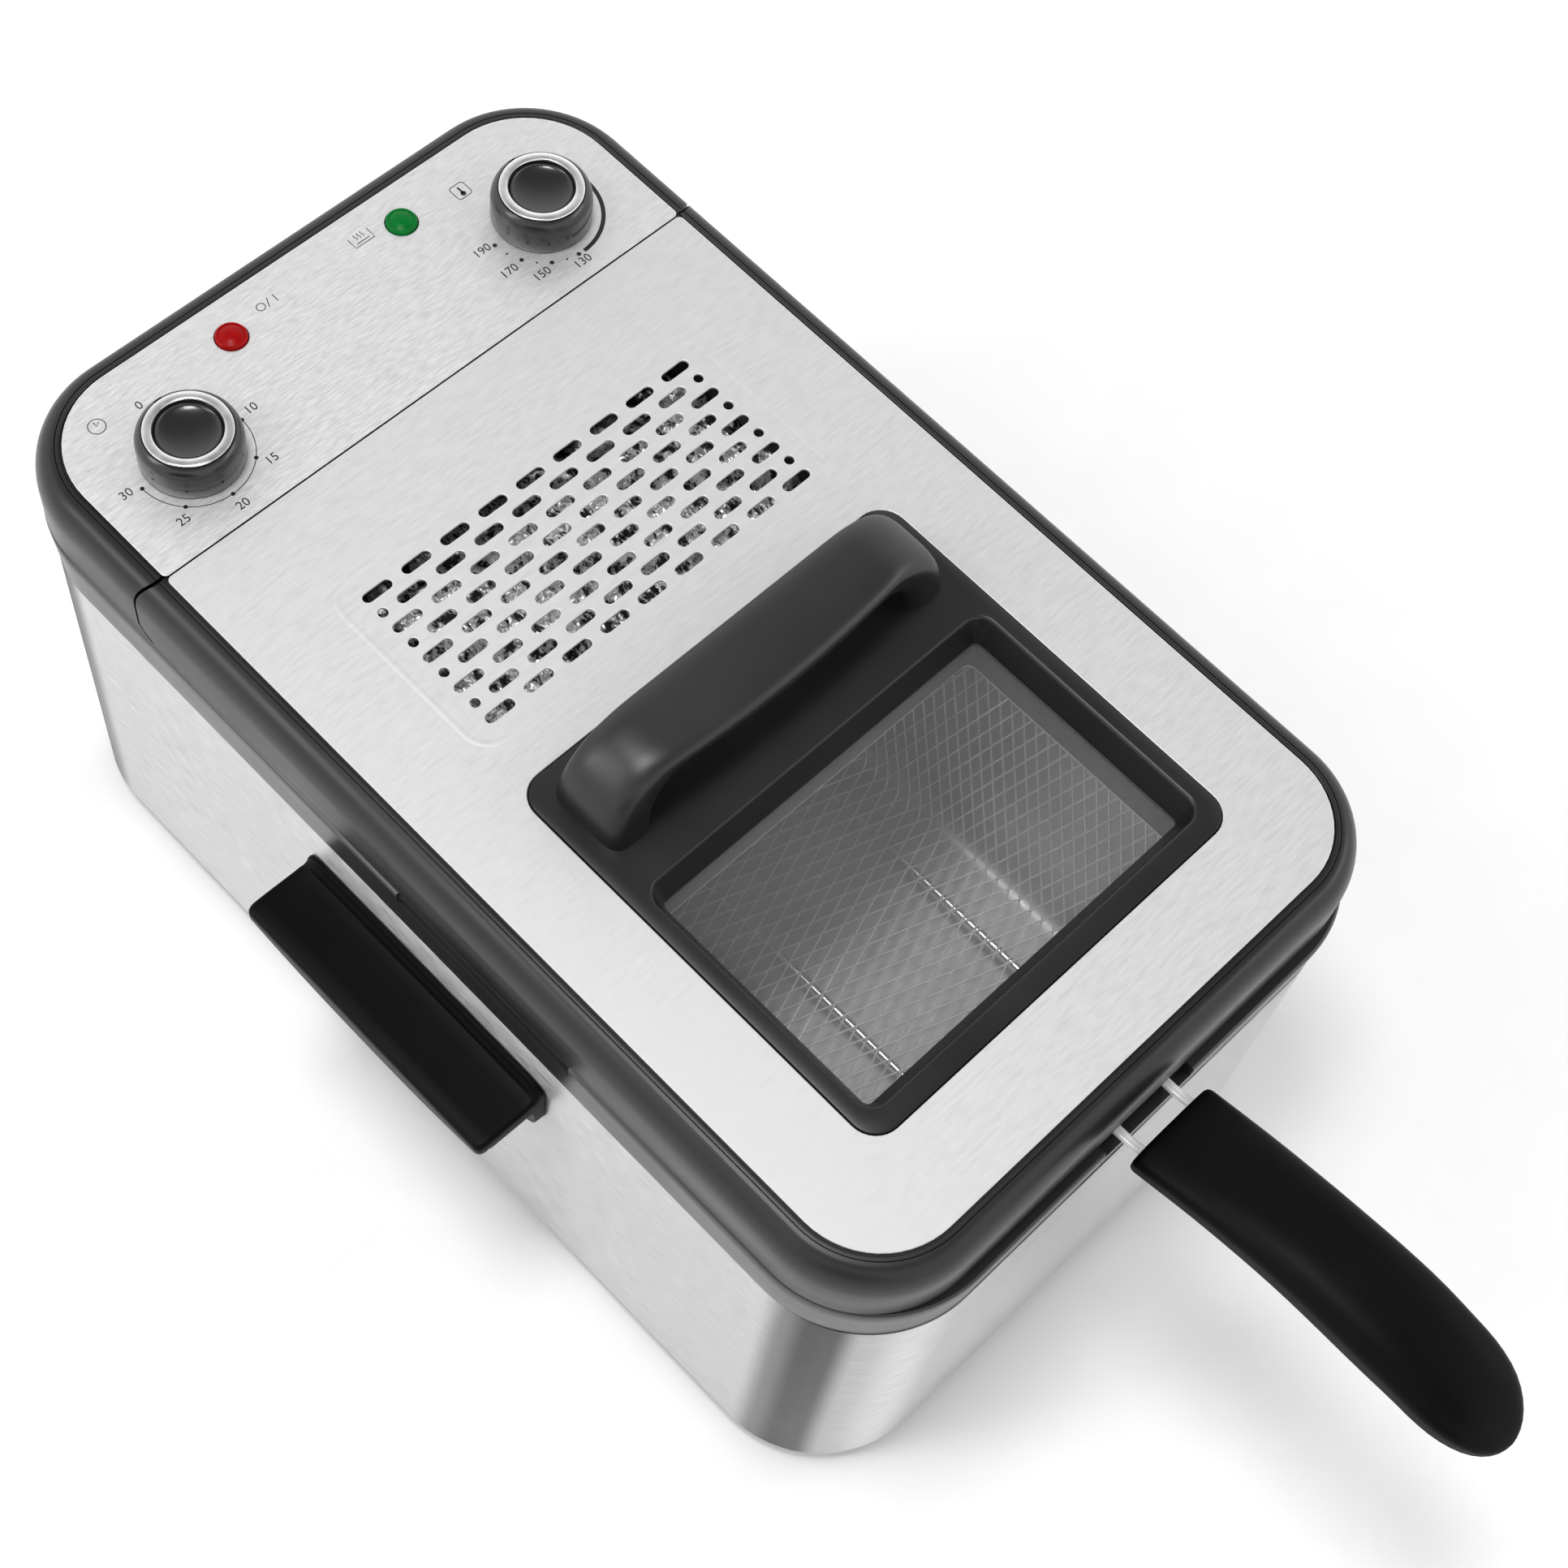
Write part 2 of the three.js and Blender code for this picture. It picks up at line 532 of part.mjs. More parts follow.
function lidLiner() {
  const { z, thick } = LINER;
  const inset = RIM_WALL + 0.6;
  const sheet = block(RIM.x - inset, RIM_HALF_Y - inset, 40 - inset, z, z + thick, { cy: RIM_CY });
  return cut(
    sheet,
    box(-130, 130, 99, 215, 150, 205),
    recessBlock(-3, 150, 205),
    box(-FILTER.x + 5, FILTER.x - 5, FILTER.front + 5, FILTER.rear - 5, 150, 205));
}

function lidSeal() {
  const z0 = POT.seat + GAP + FLANGE.thick + 0.4;
  const ring = block(POT.x + 3, POT.y + 3, POT.r + 3, z0, LINER.z - GAP, { cy: POT.cy });
  const inside = block(POT.x - 1, POT.y - 1, POT.r - 1, 150, 205, { cy: POT.cy });
  return cut(ring, inside, box(-16, 16, -215, -170, 150, 205));
}

function filterCover() {
  const z0 = LINER.z + LINER.thick + GAP;
  const sheet = box(-FILTER.x - 2, FILTER.x + 2, FILTER.front - 2, FILTER.rear + 2, z0, z0 + 1);
  const slots = [];
  for (let row = 0; row < 7; row++) {
    for (const side of [-1, 1]) {
      const y = FILTER.front + 12 + row * 9;
      slots.push(box(side * 34 - 28, side * 34 + 28, y - 2.2, y + 2.2, z0 - 2, z0 + 3));
    }
  }
  return cut(sheet, ...slots);
}

function filterPad() {
  const z0 = LINER.z + LINER.thick + 2 * GAP + 1.1;
  return block(FILTER.x, (FILTER.rear - FILTER.front) / 2, 4, z0, 197.4,
    { cy: (FILTER.front + FILTER.rear) / 2, steps: 3 });
}

// The bridge handle: an arch along X that stands on the rear part of the window frame.
function handleArch() {
  const bevel = 2.5;
  const { x, rise, front, rear, thick } = HANDLE_ARCH;
  const base = WINDOW.top - 1.5;
  const top = PLATE_TOP + rise - bevel;
  const outX = x - bevel;
  const under = top - thick + 2 * bevel;
  const inX = outX - 12;
  const shape = new THREE.Shape();
  shape.moveTo(-outX, base);
  shape.bezierCurveTo(-outX, base + 18, -outX + 8, top, -outX + 26, top);
  shape.lineTo(outX - 26, top);
  shape.bezierCurveTo(outX - 8, top, outX, base + 18, outX, base);
  shape.lineTo(inX, base);
  shape.bezierCurveTo(inX, base + 14, inX - 6, under, inX - 20, under);
  shape.lineTo(-inX + 20, under);
  shape.bezierCurveTo(-inX + 6, under, -inX, base + 14, -inX, base);
  shape.closePath();
  return common(alongY(shape, front, rear, bevel, 6), box(-90, 90, -60, 0, base, 250));
}

function windowFrame() {
  const deck = windowBlock(0, 199.2, WINDOW.top);
  const well = recessBlock(4, GLASS.top - GLASS.thick - GAP, 200);
  const opening = recessBlock(0, GLASS.top + GAP, WINDOW.top + 0.01, RECESS.inset);
  const glassSeat = recessBlock(2, 150, GLASS.top + GAP);
  return join(cut(join(deck, well), opening, glassSeat), handleArch());
}

function windowGlass() {
  return recessBlock(1.6, GLASS.top - GLASS.thick, GLASS.top);
}

function windowSeal() {
  const z0 = LINER.z + LINER.thick + GAP;
  return cut(recessBlock(1.6, z0, GLASS.top - GLASS.thick - GAP), recessBlock(-3, 150, 205));
}

add(lid, 'lid_frame', lidFrame(), 'satinBlack');
add(lid, 'lid_plate', lidPlate(), 'mattSteel');
add(lid, 'lid_liner', lidLiner(), 'mattSteel');
add(lid, 'lid_seal', lidSeal(), 'silicone');
add(lid, 'filter_cover', filterCover(), 'mattSteel');
add(lid, 'filter_pad', filterPad(), 'brightSteel');
add(lid, 'window_frame', windowFrame(), 'satinBlack');
add(lid, 'window_glass', windowGlass(), 'glass');
add(lid, 'window_seal', windowSeal(), 'silicone');

// ---- basket -------------------------------------------------------------------------------
const basket = new THREE.Group();

function basketShell() {
  const { cy, x, y, r, bottom, top, thick, draft } = BASKET;
  return cut(
    block(x, y, r, bottom, top, { cy, draft, steps: 3 }),
    block(x - thick, y - thick, r - thick, bottom + thick, top + thick, { cy, draft, steps: 3 }));
}

function basketRim() {
  const { cy, x, y, r, top } = BASKET;
  const { grow, height } = BASKET_RIM;
  const z0 = top + GAP;
  return cut(
    block(x + grow, y + grow, r + grow, z0, z0 + height, { cy, steps: 3 }),
    block(x - 1, y - 1, r - 1, z0 - 1, z0 + height + 1, { cy, steps: 3 }));
}

function basketRunner(x) {
  const z = BASKET.bottom - GAP - 1.6;
  return bar([[x, -160, z], [x, -48, z], [x, 62, z]], 1.5, 8);
}

function strapPath(side, tail) {
  const x = side * STRAP.x;
  const { y, z } = STRAP;
  return [
    [x, y, 138], [x, y, 154], [x, y, 165], [x, y - 2.4, 170.6], [x, y - 7, z],
    [x, y - 18, z], [x, y - 29, z + 0.4], [x, y - 38, z + 3.4], [x, tail, z + 6.6],
  ];
}

// The grip is the common part of its plan outline and its side outline.
function gripSolid() {
  const { start, tip } = GRIP;
  const side = [[17.6, start], [17.7, start - 25], [18, start - 55], [18.4, start - 90],
    [16.6, start - 112], [10.4, start - 127]];
  const plan = new THREE.Shape();
  plan.moveTo(side[0][0], side[0][1]);
  plan.splineThru([...side.slice(1), [0, tip]].map(([x, y]) => new THREE.Vector2(x, y)));
  plan.splineThru([...side.slice(1).reverse(), side[0]].map(([x, y]) => new THREE.Vector2(-x, y)));
  plan.closePath();
  const upright = new THREE.ExtrudeGeometry(plan, { depth: 60, bevelEnabled: false, curveSegments: 2 });
  upright.translate(0, 0, 155);
  const upper = [[start, 181], [start - 28, 189.5], [start - 58, 194.5], [start - 90, 195],
    [start - 118, 190], [tip, 181]];
  const lower = [[tip, 175], [start - 118, 177.5], [start - 90, 180.5], [start - 58, 179.5],
    [start - 28, 174.5], [start, 167.5]];
  const profile = new THREE.Shape();
  profile.moveTo(...upper[0]);
  profile.splineThru(upper.slice(1).map(([y, z]) => new THREE.Vector2(y, z)));
  profile.lineTo(...lower[0]);
  profile.splineThru(lower.slice(1).map(([y, z]) => new THREE.Vector2(y, z)));
  profile.closePath();
  return common(upright, alongX(profile, -30, 30, 2));
}

function basketGrip() {
  const sockets = [-1, 1].map((side) => bar(strapPath(side, GRIP.start - 16), STRAP.r + 0.4, 24));
  return cut(gripSolid(), ...sockets);
}

add(basket, 'basket_shell', basketShell(), 'brightSteel');
add(basket, 'basket_rim', basketRim(), 'brightSteel');
for (const [word, side] of [['left', -1], ['middle', 0], ['right', 1]]) {
  add(basket, `basket_runner_${word}`, basketRunner(side * RUNNER_X), 'brightSteel');
}
for (const [word, side] of [['left', -1], ['right', 1]]) {
  add(basket, `basket_strap_${word}`, bar(strapPath(side, GRIP.start - 15), STRAP.r, 24), 'brightSteel');
}
add(basket, 'basket_grip', basketGrip(), 'glossBlack');

// ---- knobs --------------------------------------------------------------------------------
function knobGroup(name, side) {
  const { x, y, r, height } = KNOB;
  const group = new THREE.Group();
  group.position.set(side * x, y, PLATE_TOP + GAP);
  const seat = height - 1;
  const body = turned([[0, 7.3], [3.3, 7.3], [3.3, 0], [r, 0], [r, 9.5], [16.4, 11.8], [14.7, height],
    [14.7, seat], [11, seat], [11, 9.6], [0, 9.6]], 24);
  const pointer = rod(1.5, height - 1.8, height + 2, 12).translate(0, 15.6, 0);
  add(group, `${name}_knob`, cut(body, pointer), 'glossBlack');
  const ring = [[14.4, seat + GAP], [14.4, 13.5], [13.8, 14], [11.8, 14], [11.3, 13.5], [11.3, seat + GAP]];
  add(group, `${name}_knob_ring`, turned([...ring, ring[0]], 24), 'brightSteel');
  const cap = [[0, 9.9], [10.7, 9.9], [10.7, 12.9], [8.5, 11.6], [4, 10.9], [0, 10.7]];
  add(group, `${name}_knob_cap`, turned(cap, 24), 'satinBlack');
  add(group, `${name}_shaft`, rod(3, -26, 7, 12), 'brightSteel');
  return group;
}

// ---- assembly -----------------------------------------------------------------------------
const fryer = new THREE.Group();
fryer.position.y = SHIFT_Y;
fryer.add(housing, lid, basket, knobGroup('timer', -1), knobGroup('thermostat', 1));

export default fryer;
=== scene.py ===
import json
import math

import bmesh
import bpy
from mathutils import Matrix, Vector, noise


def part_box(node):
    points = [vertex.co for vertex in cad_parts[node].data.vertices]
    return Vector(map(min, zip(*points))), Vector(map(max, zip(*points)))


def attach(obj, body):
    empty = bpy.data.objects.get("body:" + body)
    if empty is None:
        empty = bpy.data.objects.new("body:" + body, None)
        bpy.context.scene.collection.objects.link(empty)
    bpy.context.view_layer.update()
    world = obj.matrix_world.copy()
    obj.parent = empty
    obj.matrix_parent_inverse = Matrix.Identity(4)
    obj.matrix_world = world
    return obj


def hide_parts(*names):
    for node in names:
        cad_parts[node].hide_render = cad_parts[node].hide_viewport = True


# A lidded deep fryer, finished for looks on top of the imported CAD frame.
# Sizes below are millimetres. x runs across, y to the rear and z up, with y = 0 at the middle of
# the steel wall. Meshes are turned into metres in the row frame when they are made.

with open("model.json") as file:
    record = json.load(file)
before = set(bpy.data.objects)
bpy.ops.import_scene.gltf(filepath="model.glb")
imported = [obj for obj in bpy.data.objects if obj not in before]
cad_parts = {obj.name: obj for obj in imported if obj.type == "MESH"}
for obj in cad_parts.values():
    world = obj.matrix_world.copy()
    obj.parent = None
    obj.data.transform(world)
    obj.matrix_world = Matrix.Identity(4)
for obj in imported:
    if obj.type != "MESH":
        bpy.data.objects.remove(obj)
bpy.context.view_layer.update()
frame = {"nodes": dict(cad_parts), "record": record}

MM = 0.001
wall_low, wall_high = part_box("outer_shell")
BODY_Y = (wall_low[1] + wall_high[1]) / 2 / MM


def span(node):
    """Lowest and highest corner of a CAD node in this script's millimetres."""
    low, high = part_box(node)
    shift = Vector((0, BODY_Y, 0))
    return Vector(low) / MM - shift, Vector(high) / MM - shift


# ---- meshes --------------------------------------------------------------------------------
class Outline:
    """A rectangle with round corners, seen from above."""

    def __init__(self, half_x, front, rear, front_r, rear_r=None):
        self.half_x = half_x
        self.front = front
        self.rear = rear
        self.front_r = front_r
        self.rear_r = front_r if rear_r is None else rear_r

    def grown(self, by):
        """The same outline, moved outwards."""
        radii = max(self.front_r + by, 0.05), max(self.rear_r + by, 0.05)
        return Outline(self.half_x + by, self.front - by, self.rear + by, *radii)

    def loop(self, z, steps=14):
        x, front, rear, r0, r1 = self.half_x, self.front, self.rear, self.front_r, self.rear_r
        corners = (
            (x - r1, rear - r1, r1, 0), (r1 - x, rear - r1, r1, 90),
            (r0 - x, front + r0, r0, 180), (x - r0, front + r0, r0, 270))
        points = []
        for cx, cy, r, start in corners:
            for i in range(steps + 1):
                a = math.radians(start + 90 * i / steps)
                points.append((cx + r * math.cos(a), cy + r * math.sin(a), z))
        return points


def link(name, data):
    """A new object in the scene."""
    obj = bpy.data.objects.new(name, data)
    bpy.context.scene.collection.objects.link(obj)
    return obj


def smooth(obj, angle=32):
    """Smooth shading, with an edge kept sharp where its faces meet at more than that angle."""
    mesh = obj.data
    mesh.polygons.foreach_set("use_smooth", [True] * len(mesh.polygons))
    mesh.set_sharp_from_angle(angle=math.radians(angle))
    mesh.update()
    return obj


def to_mesh(name, points, faces):
    """An object from points in millimetres, with its faces turned outwards."""
    mesh = bpy.data.meshes.new(name)
    mesh.from_pydata([(x * MM, (y + BODY_Y) * MM, z * MM) for x, y, z in points], [], faces)
    bm = bmesh.new()
    bm.from_mesh(mesh)
    bmesh.ops.recalc_face_normals(bm, faces=bm.faces)
    bm.to_mesh(mesh)
    bm.free()
    return link(name, mesh)


def skin(name, loops, closed=False):
    """Faces between loops of equal length. closed joins the last loop to the first."""
    count = len(loops[0])
    points = [p for loop in loops for p in loop]
    faces = []
    for i in range(len(loops) if closed else len(loops) - 1):
        a = i * count
        b = (i + 1) % len(loops) * count
        for j in range(count):
            k = (j + 1) % count
            faces.append((a + j, a + k, b + k, b + j))
    if not closed:
        faces.append(tuple(range(count)))
        faces.append(tuple((len(loops) - 1) * count + j for j in range(count)))
    return to_mesh(name, points, faces)


def stack(name, outline, profile, closed=False, steps=14):
    """An outline swept up a profile of (growth, z) pairs."""
    return skin(name, [outline.grown(by).loop(z, steps) for by, z in profile], closed)


def lathe(name, profile, centre, segments):
    """A turned piece about a vertical axis. The profile is (radius, z) pairs from axis to axis."""
    cx, cy = centre
    obj = skin(name, [[(cx + x, cy + y, z) for x, y in circle(r, segments)] for r, z in profile])
    weld(obj, 0.002)
    return obj


def weld(obj, distance):
    """Joins points closer than that many millimetres."""
    bm = bmesh.new()
    bm.from_mesh(obj.data)
    bmesh.ops.remove_doubles(bm, verts=bm.verts, dist=distance * MM)
    bmesh.ops.dissolve_degenerate(bm, edges=bm.edges, dist=distance * MM / 4)
    bmesh.ops.recalc_face_normals(bm, faces=bm.faces)
    bm.to_mesh(obj.data)
    bm.free()


def block(name, x0, x1, y0, y1, z0, z1):
    """A plain cutter, only used to carve other pieces."""
    loops = [[(x0, y0, z), (x1, y0, z), (x1, y1, z), (x0, y1, z)] for z in (z0, z1)]
    return skin(name, loops)


def side_cutter(name, outline):
    """A cutter whose outline is (y, z) pairs, pushed right across the object."""
    return skin(name, [[(x, y, z) for y, z in outline] for x in (-130, 130)])


def bake(obj):
    """Applies an object's modifiers to its mesh."""
    graph = bpy.context.evaluated_depsgraph_get()
    mesh = bpy.data.meshes.new_from_object(obj.evaluated_get(graph))
    old = obj.data
    obj.modifiers.clear()
    obj.data = mesh
    bpy.data.meshes.remove(old)
    return obj


def carve(obj, *tools, operation="DIFFERENCE"):
    """Cuts the tools out of a piece, or joins or intersects them, and uses them up."""
    for tool in tools:
        modifier = obj.modifiers.new("carve", "BOOLEAN")
        modifier.operation = operation
        modifier.solver = "EXACT"
        modifier.object = tool
        bake(obj)
        bpy.data.objects.remove(tool)
    return obj


def soften(obj, width):
    """Rounds every sharp edge by that many millimetres."""
    modifier = obj.modifiers.new("round edges", "BEVEL")
    modifier.width = width * MM
    modifier.segments = 2
    modifier.limit_method = "ANGLE"
    modifier.angle_limit = math.radians(40)
    modifier.use_clamp_overlap = True
    modifier.harden_normals = False
    return obj


def spline(points, steps):
    """A smooth curve through the points, as a list of Vectors."""
    knots = [Vector(p) for p in points]
    knots = [2 * knots[0] - knots[1], *knots, 2 * knots[-1] - knots[-2]]
    curve = []
    for i in range(1, len(knots) - 2):
        a, b, c, d = knots[i - 1:i + 3]
        for s in range(steps):
            t = s / steps
            curve.append(0.5 * (
                2 * b + (c - a) * t + (2 * a - 5 * b + 4 * c - d) * t ** 2
                + (3 * b - a - 3 * c + d) * t ** 3))
    curve.append(knots[-2])
    return curve


def sweep(name, path, section, side=Vector((1, 0, 0))):
    """A section of (across, up) pairs, swept along a path that never runs along side."""
    loops = []
    for i, point in enumerate(path):
        ahead = path[min(i + 1, len(path) - 1)] - path[max(i - 1, 0)]
        across = (side - ahead * side.dot(ahead) / ahead.dot(ahead)).normalized()
        up = across.cross(ahead).normalized()
        loops.append([point + across * u + up * v for u, v in section])
    return skin(name, loops)


def circle(r, count):
    angles = [2 * math.pi * i / count for i in range(count)]
    return [(r * math.cos(a), r * math.sin(a)) for a in angles]


def turned(name, profile, centre, segments):
    """A closed ring about a vertical axis. The profile is (radius, z) pairs that go round."""
    cx, cy = centre
    loops = [[(cx + x, cy + y, z) for x, y in circle(r, segments)] for r, z in profile]
    return skin(name, loops, closed=True)


def wires(name, paths, r):
    """Many thin square-sided wires in one object."""
    curve = bpy.data.curves.new(name, "CURVE")
    curve.dimensions = "3D"
    curve.bevel_depth = r * MM
    curve.bevel_resolution = 0
    curve.use_fill_caps = True
    for path in paths:
        line = curve.splines.new("POLY")
        line.points.add(len(path) - 1)
        for point, (x, y, z) in zip(line.points, path):
            point.co = (x * MM, (y + BODY_Y) * MM, z * MM, 1)
    return baked_curve(name, curve)


def baked_curve(name, curve):
    """The mesh of a curve, as an object."""
    holder = link(name + "_curve", curve)
    graph = bpy.context.evaluated_depsgraph_get()
    mesh = bpy.data.meshes.new_from_object(holder.evaluated_get(graph))
    bpy.data.objects.remove(holder)
    bpy.data.curves.remove(curve)
    return link(name, mesh)


def sheet_with_holes(name, outer, holes, z0, z1, edge):
    """A flat plate between two heights with rounded edges, from an outline and its holes."""
    curve = bpy.data.curves.new(name, "CURVE")
    curve.dimensions = "2D"
    curve.fill_mode = "BOTH"
    curve.extrude = ((z1 - z0) / 2 - edge) * MM
    curve.bevel_depth = edge * MM
    curve.bevel_resolution = 1
    curve.offset = -edge * MM
    for ring in (outer, *holes):
        line = curve.splines.new("POLY")
        line.points.add(len(ring) - 1)
        line.use_cyclic_u = True
        for point, (x, y) in zip(line.points, ring):
            point.co = (x * MM, (y + BODY_Y) * MM, 0, 1)
    obj = baked_curve(name, curve)
    obj.data.transform(Matrix.Translation((0, 0, (z0 + z1) / 2 * MM)))
    return obj


def flat(points):
    """The points without their height."""
    return [(x, y) for x, y, _ in points]


# ---- materials -----------------------------------------------------------------------------
shell_low, shell_high = span("outer_shell")
WALL_R = 43
# Painted reflection: how bright the steel's colour is painted through each bend of the wall, as (share of
# the bend, tone) pairs.
BEND_REFLECTION_TONES = ((0, 1), (0.14, 0.42), (0.25, 0.2), (0.37, 0.24), (0.5, 0.95), (0.75, 1.25), (1, 0.95))
GLASS_ALPHA = 0.09


class Finish:
    """A principled material with helpers for the detail on it."""

    def __init__(self, name, colour, roughness, metallic=0.0, specular=0.5, coat=0.0):
        self.material = bpy.data.materials.new(name)
        self.material.use_nodes = True
        self.tree = self.material.node_tree
        self.shader = self.tree.nodes["Principled BSDF"]
        self.colour = colour
        self.set("Base Color", (*colour, 1))
        self.set("Roughness", roughness)
        self.set("Metallic", metallic)
        self.set("Specular IOR Level", specular)
        self.set("Coat Weight", coat)
        self.place = self.add("ShaderNodeTexCoord").outputs["Object"]

    def set(self, socket, value):
        self.shader.inputs[socket].default_value = value

    def add(self, kind, **values):
        node = self.tree.nodes.new(kind)
        for key, value in values.items():
            setattr(node, key, value)
        return node

    def join(self, output, socket):
        self.tree.links.new(output, socket)

    def stretched(self, scale):
        """The object's own coordinates, multiplied by scale."""
        mapping = self.add("ShaderNodeMapping")
        mapping.inputs["Scale"].default_value = scale
        self.join(self.place, mapping.inputs["Vector"])
        return mapping.outputs["Vector"]

    def noise(self, scale, detail=3.0, rough=0.55):
        """Noise from -0.5 to 0.5 or so. scale is cells per metre along x, y and z."""
        node = self.add("ShaderNodeTexNoise")
        node.inputs["Scale"].default_value = 1
        node.inputs["Detail"].default_value = detail
        node.inputs["Roughness"].default_value = rough
        self.join(self.stretched(scale), node.inputs["Vector"])
        return node.outputs["Fac"]

    def cells(self, scale):
        """Distance from the nearest of many scattered points. scale is cells per metre."""
        node = self.add("ShaderNodeTexVoronoi", feature="F1")
        node.inputs["Scale"].default_value = 1
        self.join(self.stretched(scale), node.inputs["Vector"])
        return node.outputs["Distance"]

    def level(self, value, low, high, start=0.3, end=0.7):
        """Runs from low to high while the value runs from start to end."""
        node = self.add("ShaderNodeMapRange")
        node.inputs["From Min"].default_value = start
        node.inputs["From Max"].default_value = end
        node.inputs["To Min"].default_value = low
        node.inputs["To Max"].default_value = high
        self.join(value, node.inputs["Value"])
        return node.outputs["Result"]

    def roughen(self, value, low, high):
        self.join(self.level(value, low, high), self.shader.inputs["Roughness"])
        return self

    def shade(self, value, dark, light, start=0.3, end=0.7):
        """Colour that runs between two multiples of the material's own."""
        mix = self.add("ShaderNodeMix", data_type="RGBA")
        mix.inputs["A"].default_value = (*[c * dark for c in self.colour], 1)
        mix.inputs["B"].default_value = (*[min(c * light, 1) for c in self.colour], 1)
        self.join(self.level(value, 0, 1, start, end), mix.inputs["Factor"])
        self.join(mix.outputs["Result"], self.shader.inputs["Base Color"])
        return self

    def bump(self, value, height):
        """Bump with a height in millimetres."""
        node = self.add("ShaderNodeBump")
        node.inputs["Distance"].default_value = height * MM
        node.inputs["Strength"].default_value = 1
        self.join(value, node.inputs["Height"])
        self.join(node.outputs["Normal"], self.shader.inputs["Normal"])
        return self


def surface(name, colour, roughness, scale, detail, shades, roughs, height=0.0, **settings):
    """A material whose colour, gloss and relief all follow one noise, between the given pairs."""
    finish = Finish(name, colour, roughness, **settings)
    grain = finish.noise(scale, detail)
    finish.shade(grain, *shades)
    finish.roughen(grain, *roughs)
    if height:
        finish.bump(grain, height)
    return finish


def brushed(name, colour, scale, roughness, height, contrast, metallic):
    """Steel brushed along the directions in which scale is small."""
    shades, roughs = (1 - contrast, 1 + contrast), (roughness - 0.06, roughness + 0.08)
    return surface(name, colour, roughness, scale, 4, shades, roughs, height, metallic=metallic).material


def wall_steel():
    """Brushed round the wall. Where the sheet is bent, dark and then bright bands are painted into the
    colour as a painted reflection, so they don't follow the light.
    """
    finish = Finish("wall_steel", (0.56, 0.56, 0.565), 0.36, metallic=1.0)
    grain = finish.noise((110, 110, 1500), detail=4)
    finish.roughen(grain, 0.3, 0.44)
    finish.bump(grain, 0.014)
    finish.set("Anisotropic", 0.85)
    finish.set("Anisotropic Rotation", 0.25)
    finish.shade(grain, 0.86, 1.14)
    colour = finish.shader.inputs["Base Color"].links[0].from_socket

    def vector(operation, source, value=None):
        node = finish.add("ShaderNodeVectorMath", operation=operation)
        finish.join(source, node.inputs[0])
        if value is not None:
            node.inputs[1].default_value = value
        return node.outputs[0]

    wall = vector("ABSOLUTE", vector("SUBTRACT", finish.place, (0, BODY_Y * MM, 0)))
    bend_start = ((shell_high.x - WALL_R) * MM, (shell_high.y - WALL_R) * MM, 0)
    beyond = vector("MAXIMUM", vector("SUBTRACT", wall, bend_start), (0, 0, 0))
    split = finish.add("ShaderNodeSeparateXYZ")
    finish.join(beyond, split.inputs[0])
    turn = finish.add("ShaderNodeMath", operation="ARCTAN2")
    finish.join(split.outputs["Y"], turn.inputs[0])
    finish.join(split.outputs["X"], turn.inputs[1])
    part = finish.add("ShaderNodeMath", operation="DIVIDE")
    part.inputs[1].default_value = math.pi / 2
    finish.join(turn.outputs[0], part.inputs[0])
    # Painted reflection: this ramp darkens and then brightens the steel's colour through each bend.
    ramp = finish.add("ShaderNodeValToRGB")
    ramp.color_ramp.interpolation = "EASE"
    points = ramp.color_ramp.elements
    while len(points) < len(BEND_REFLECTION_TONES):
        points.new(0.5)
    for point, (place, level) in zip(points, BEND_REFLECTION_TONES):
        point.position = place
        point.color = (level, level, level, 1)
    finish.join(part.outputs[0], ramp.inputs["Fac"])
    tone = finish.add("ShaderNodeVectorMath", operation="MULTIPLY")
    finish.join(colour, tone.inputs[0])
    finish.join(ramp.outputs["Color"], tone.inputs[1])
    finish.join(tone.outputs[0], finish.shader.inputs["Base Color"])
    return finish.material


def moulded(name, colour, roughness, grain_mm=0.4, specular=0.5, coat=0.0):
    """Moulded plastic with a very fine skin grain and faint flow marks."""
    finish = Finish(name, colour, roughness, specular=specular, coat=coat)
    size = 1000 / grain_mm
    flow = finish.noise((18, 18, 18), detail=2)
    finish.shade(flow, 0.85, 1.2)
    finish.roughen(flow, roughness - 0.04, roughness + 0.05)
    finish.bump(finish.noise((size, size, size), detail=2), 0.006)
    return finish.material


def bright(name, colour, roughness, metallic=1.0):
    """Plated or polished metal with faint clouding."""
    roughs = (roughness, roughness + 0.09)
    cloud = (160, 160, 160)
    return surface(name, colour, roughness, cloud, 3, (0.88, 1.05), roughs, 0.01, metallic=metallic).material


def rubbery(name, colour, roughness):
    """Soft rubber with a dusty skin."""
    roughs = (roughness - 0.1, roughness + 0.08)
    dust = (300, 300, 300)
    return surface(name, colour, roughness, dust, 4, (0.8, 1.35), roughs, 0.03, specular=0.35).material


def crumpled_foil(name):
    """Bright crumpled metal. Its creases are painted dark as painted shade, and the facets of its bump catch
    the light.
    """
    finish = Finish(name, (0.99, 0.99, 0.99), 0.2, metallic=0.75)
    crease_shade_noise = finish.noise((260, 90, 150), detail=3, rough=0.8)
    # Painted shade: the colour falls to nearly black along the crease noise.
    finish.shade(crease_shade_noise, 0.04, 1.0, 0.44, 0.52)
    finish.roughen(crease_shade_noise, 0.4, 0.2)
    finish.bump(finish.cells((300, 150, 200)), 0.6)
    return finish.material


def tinted_glass(name):
    """Clear glass with faint smears."""
    glass = surface(name, (0.42, 0.42, 0.425), 0.06, (40, 22, 40), 3, (0.93, 1.07), (0.03, 0.12))
    glass.set("Alpha", GLASS_ALPHA)
    return glass.material


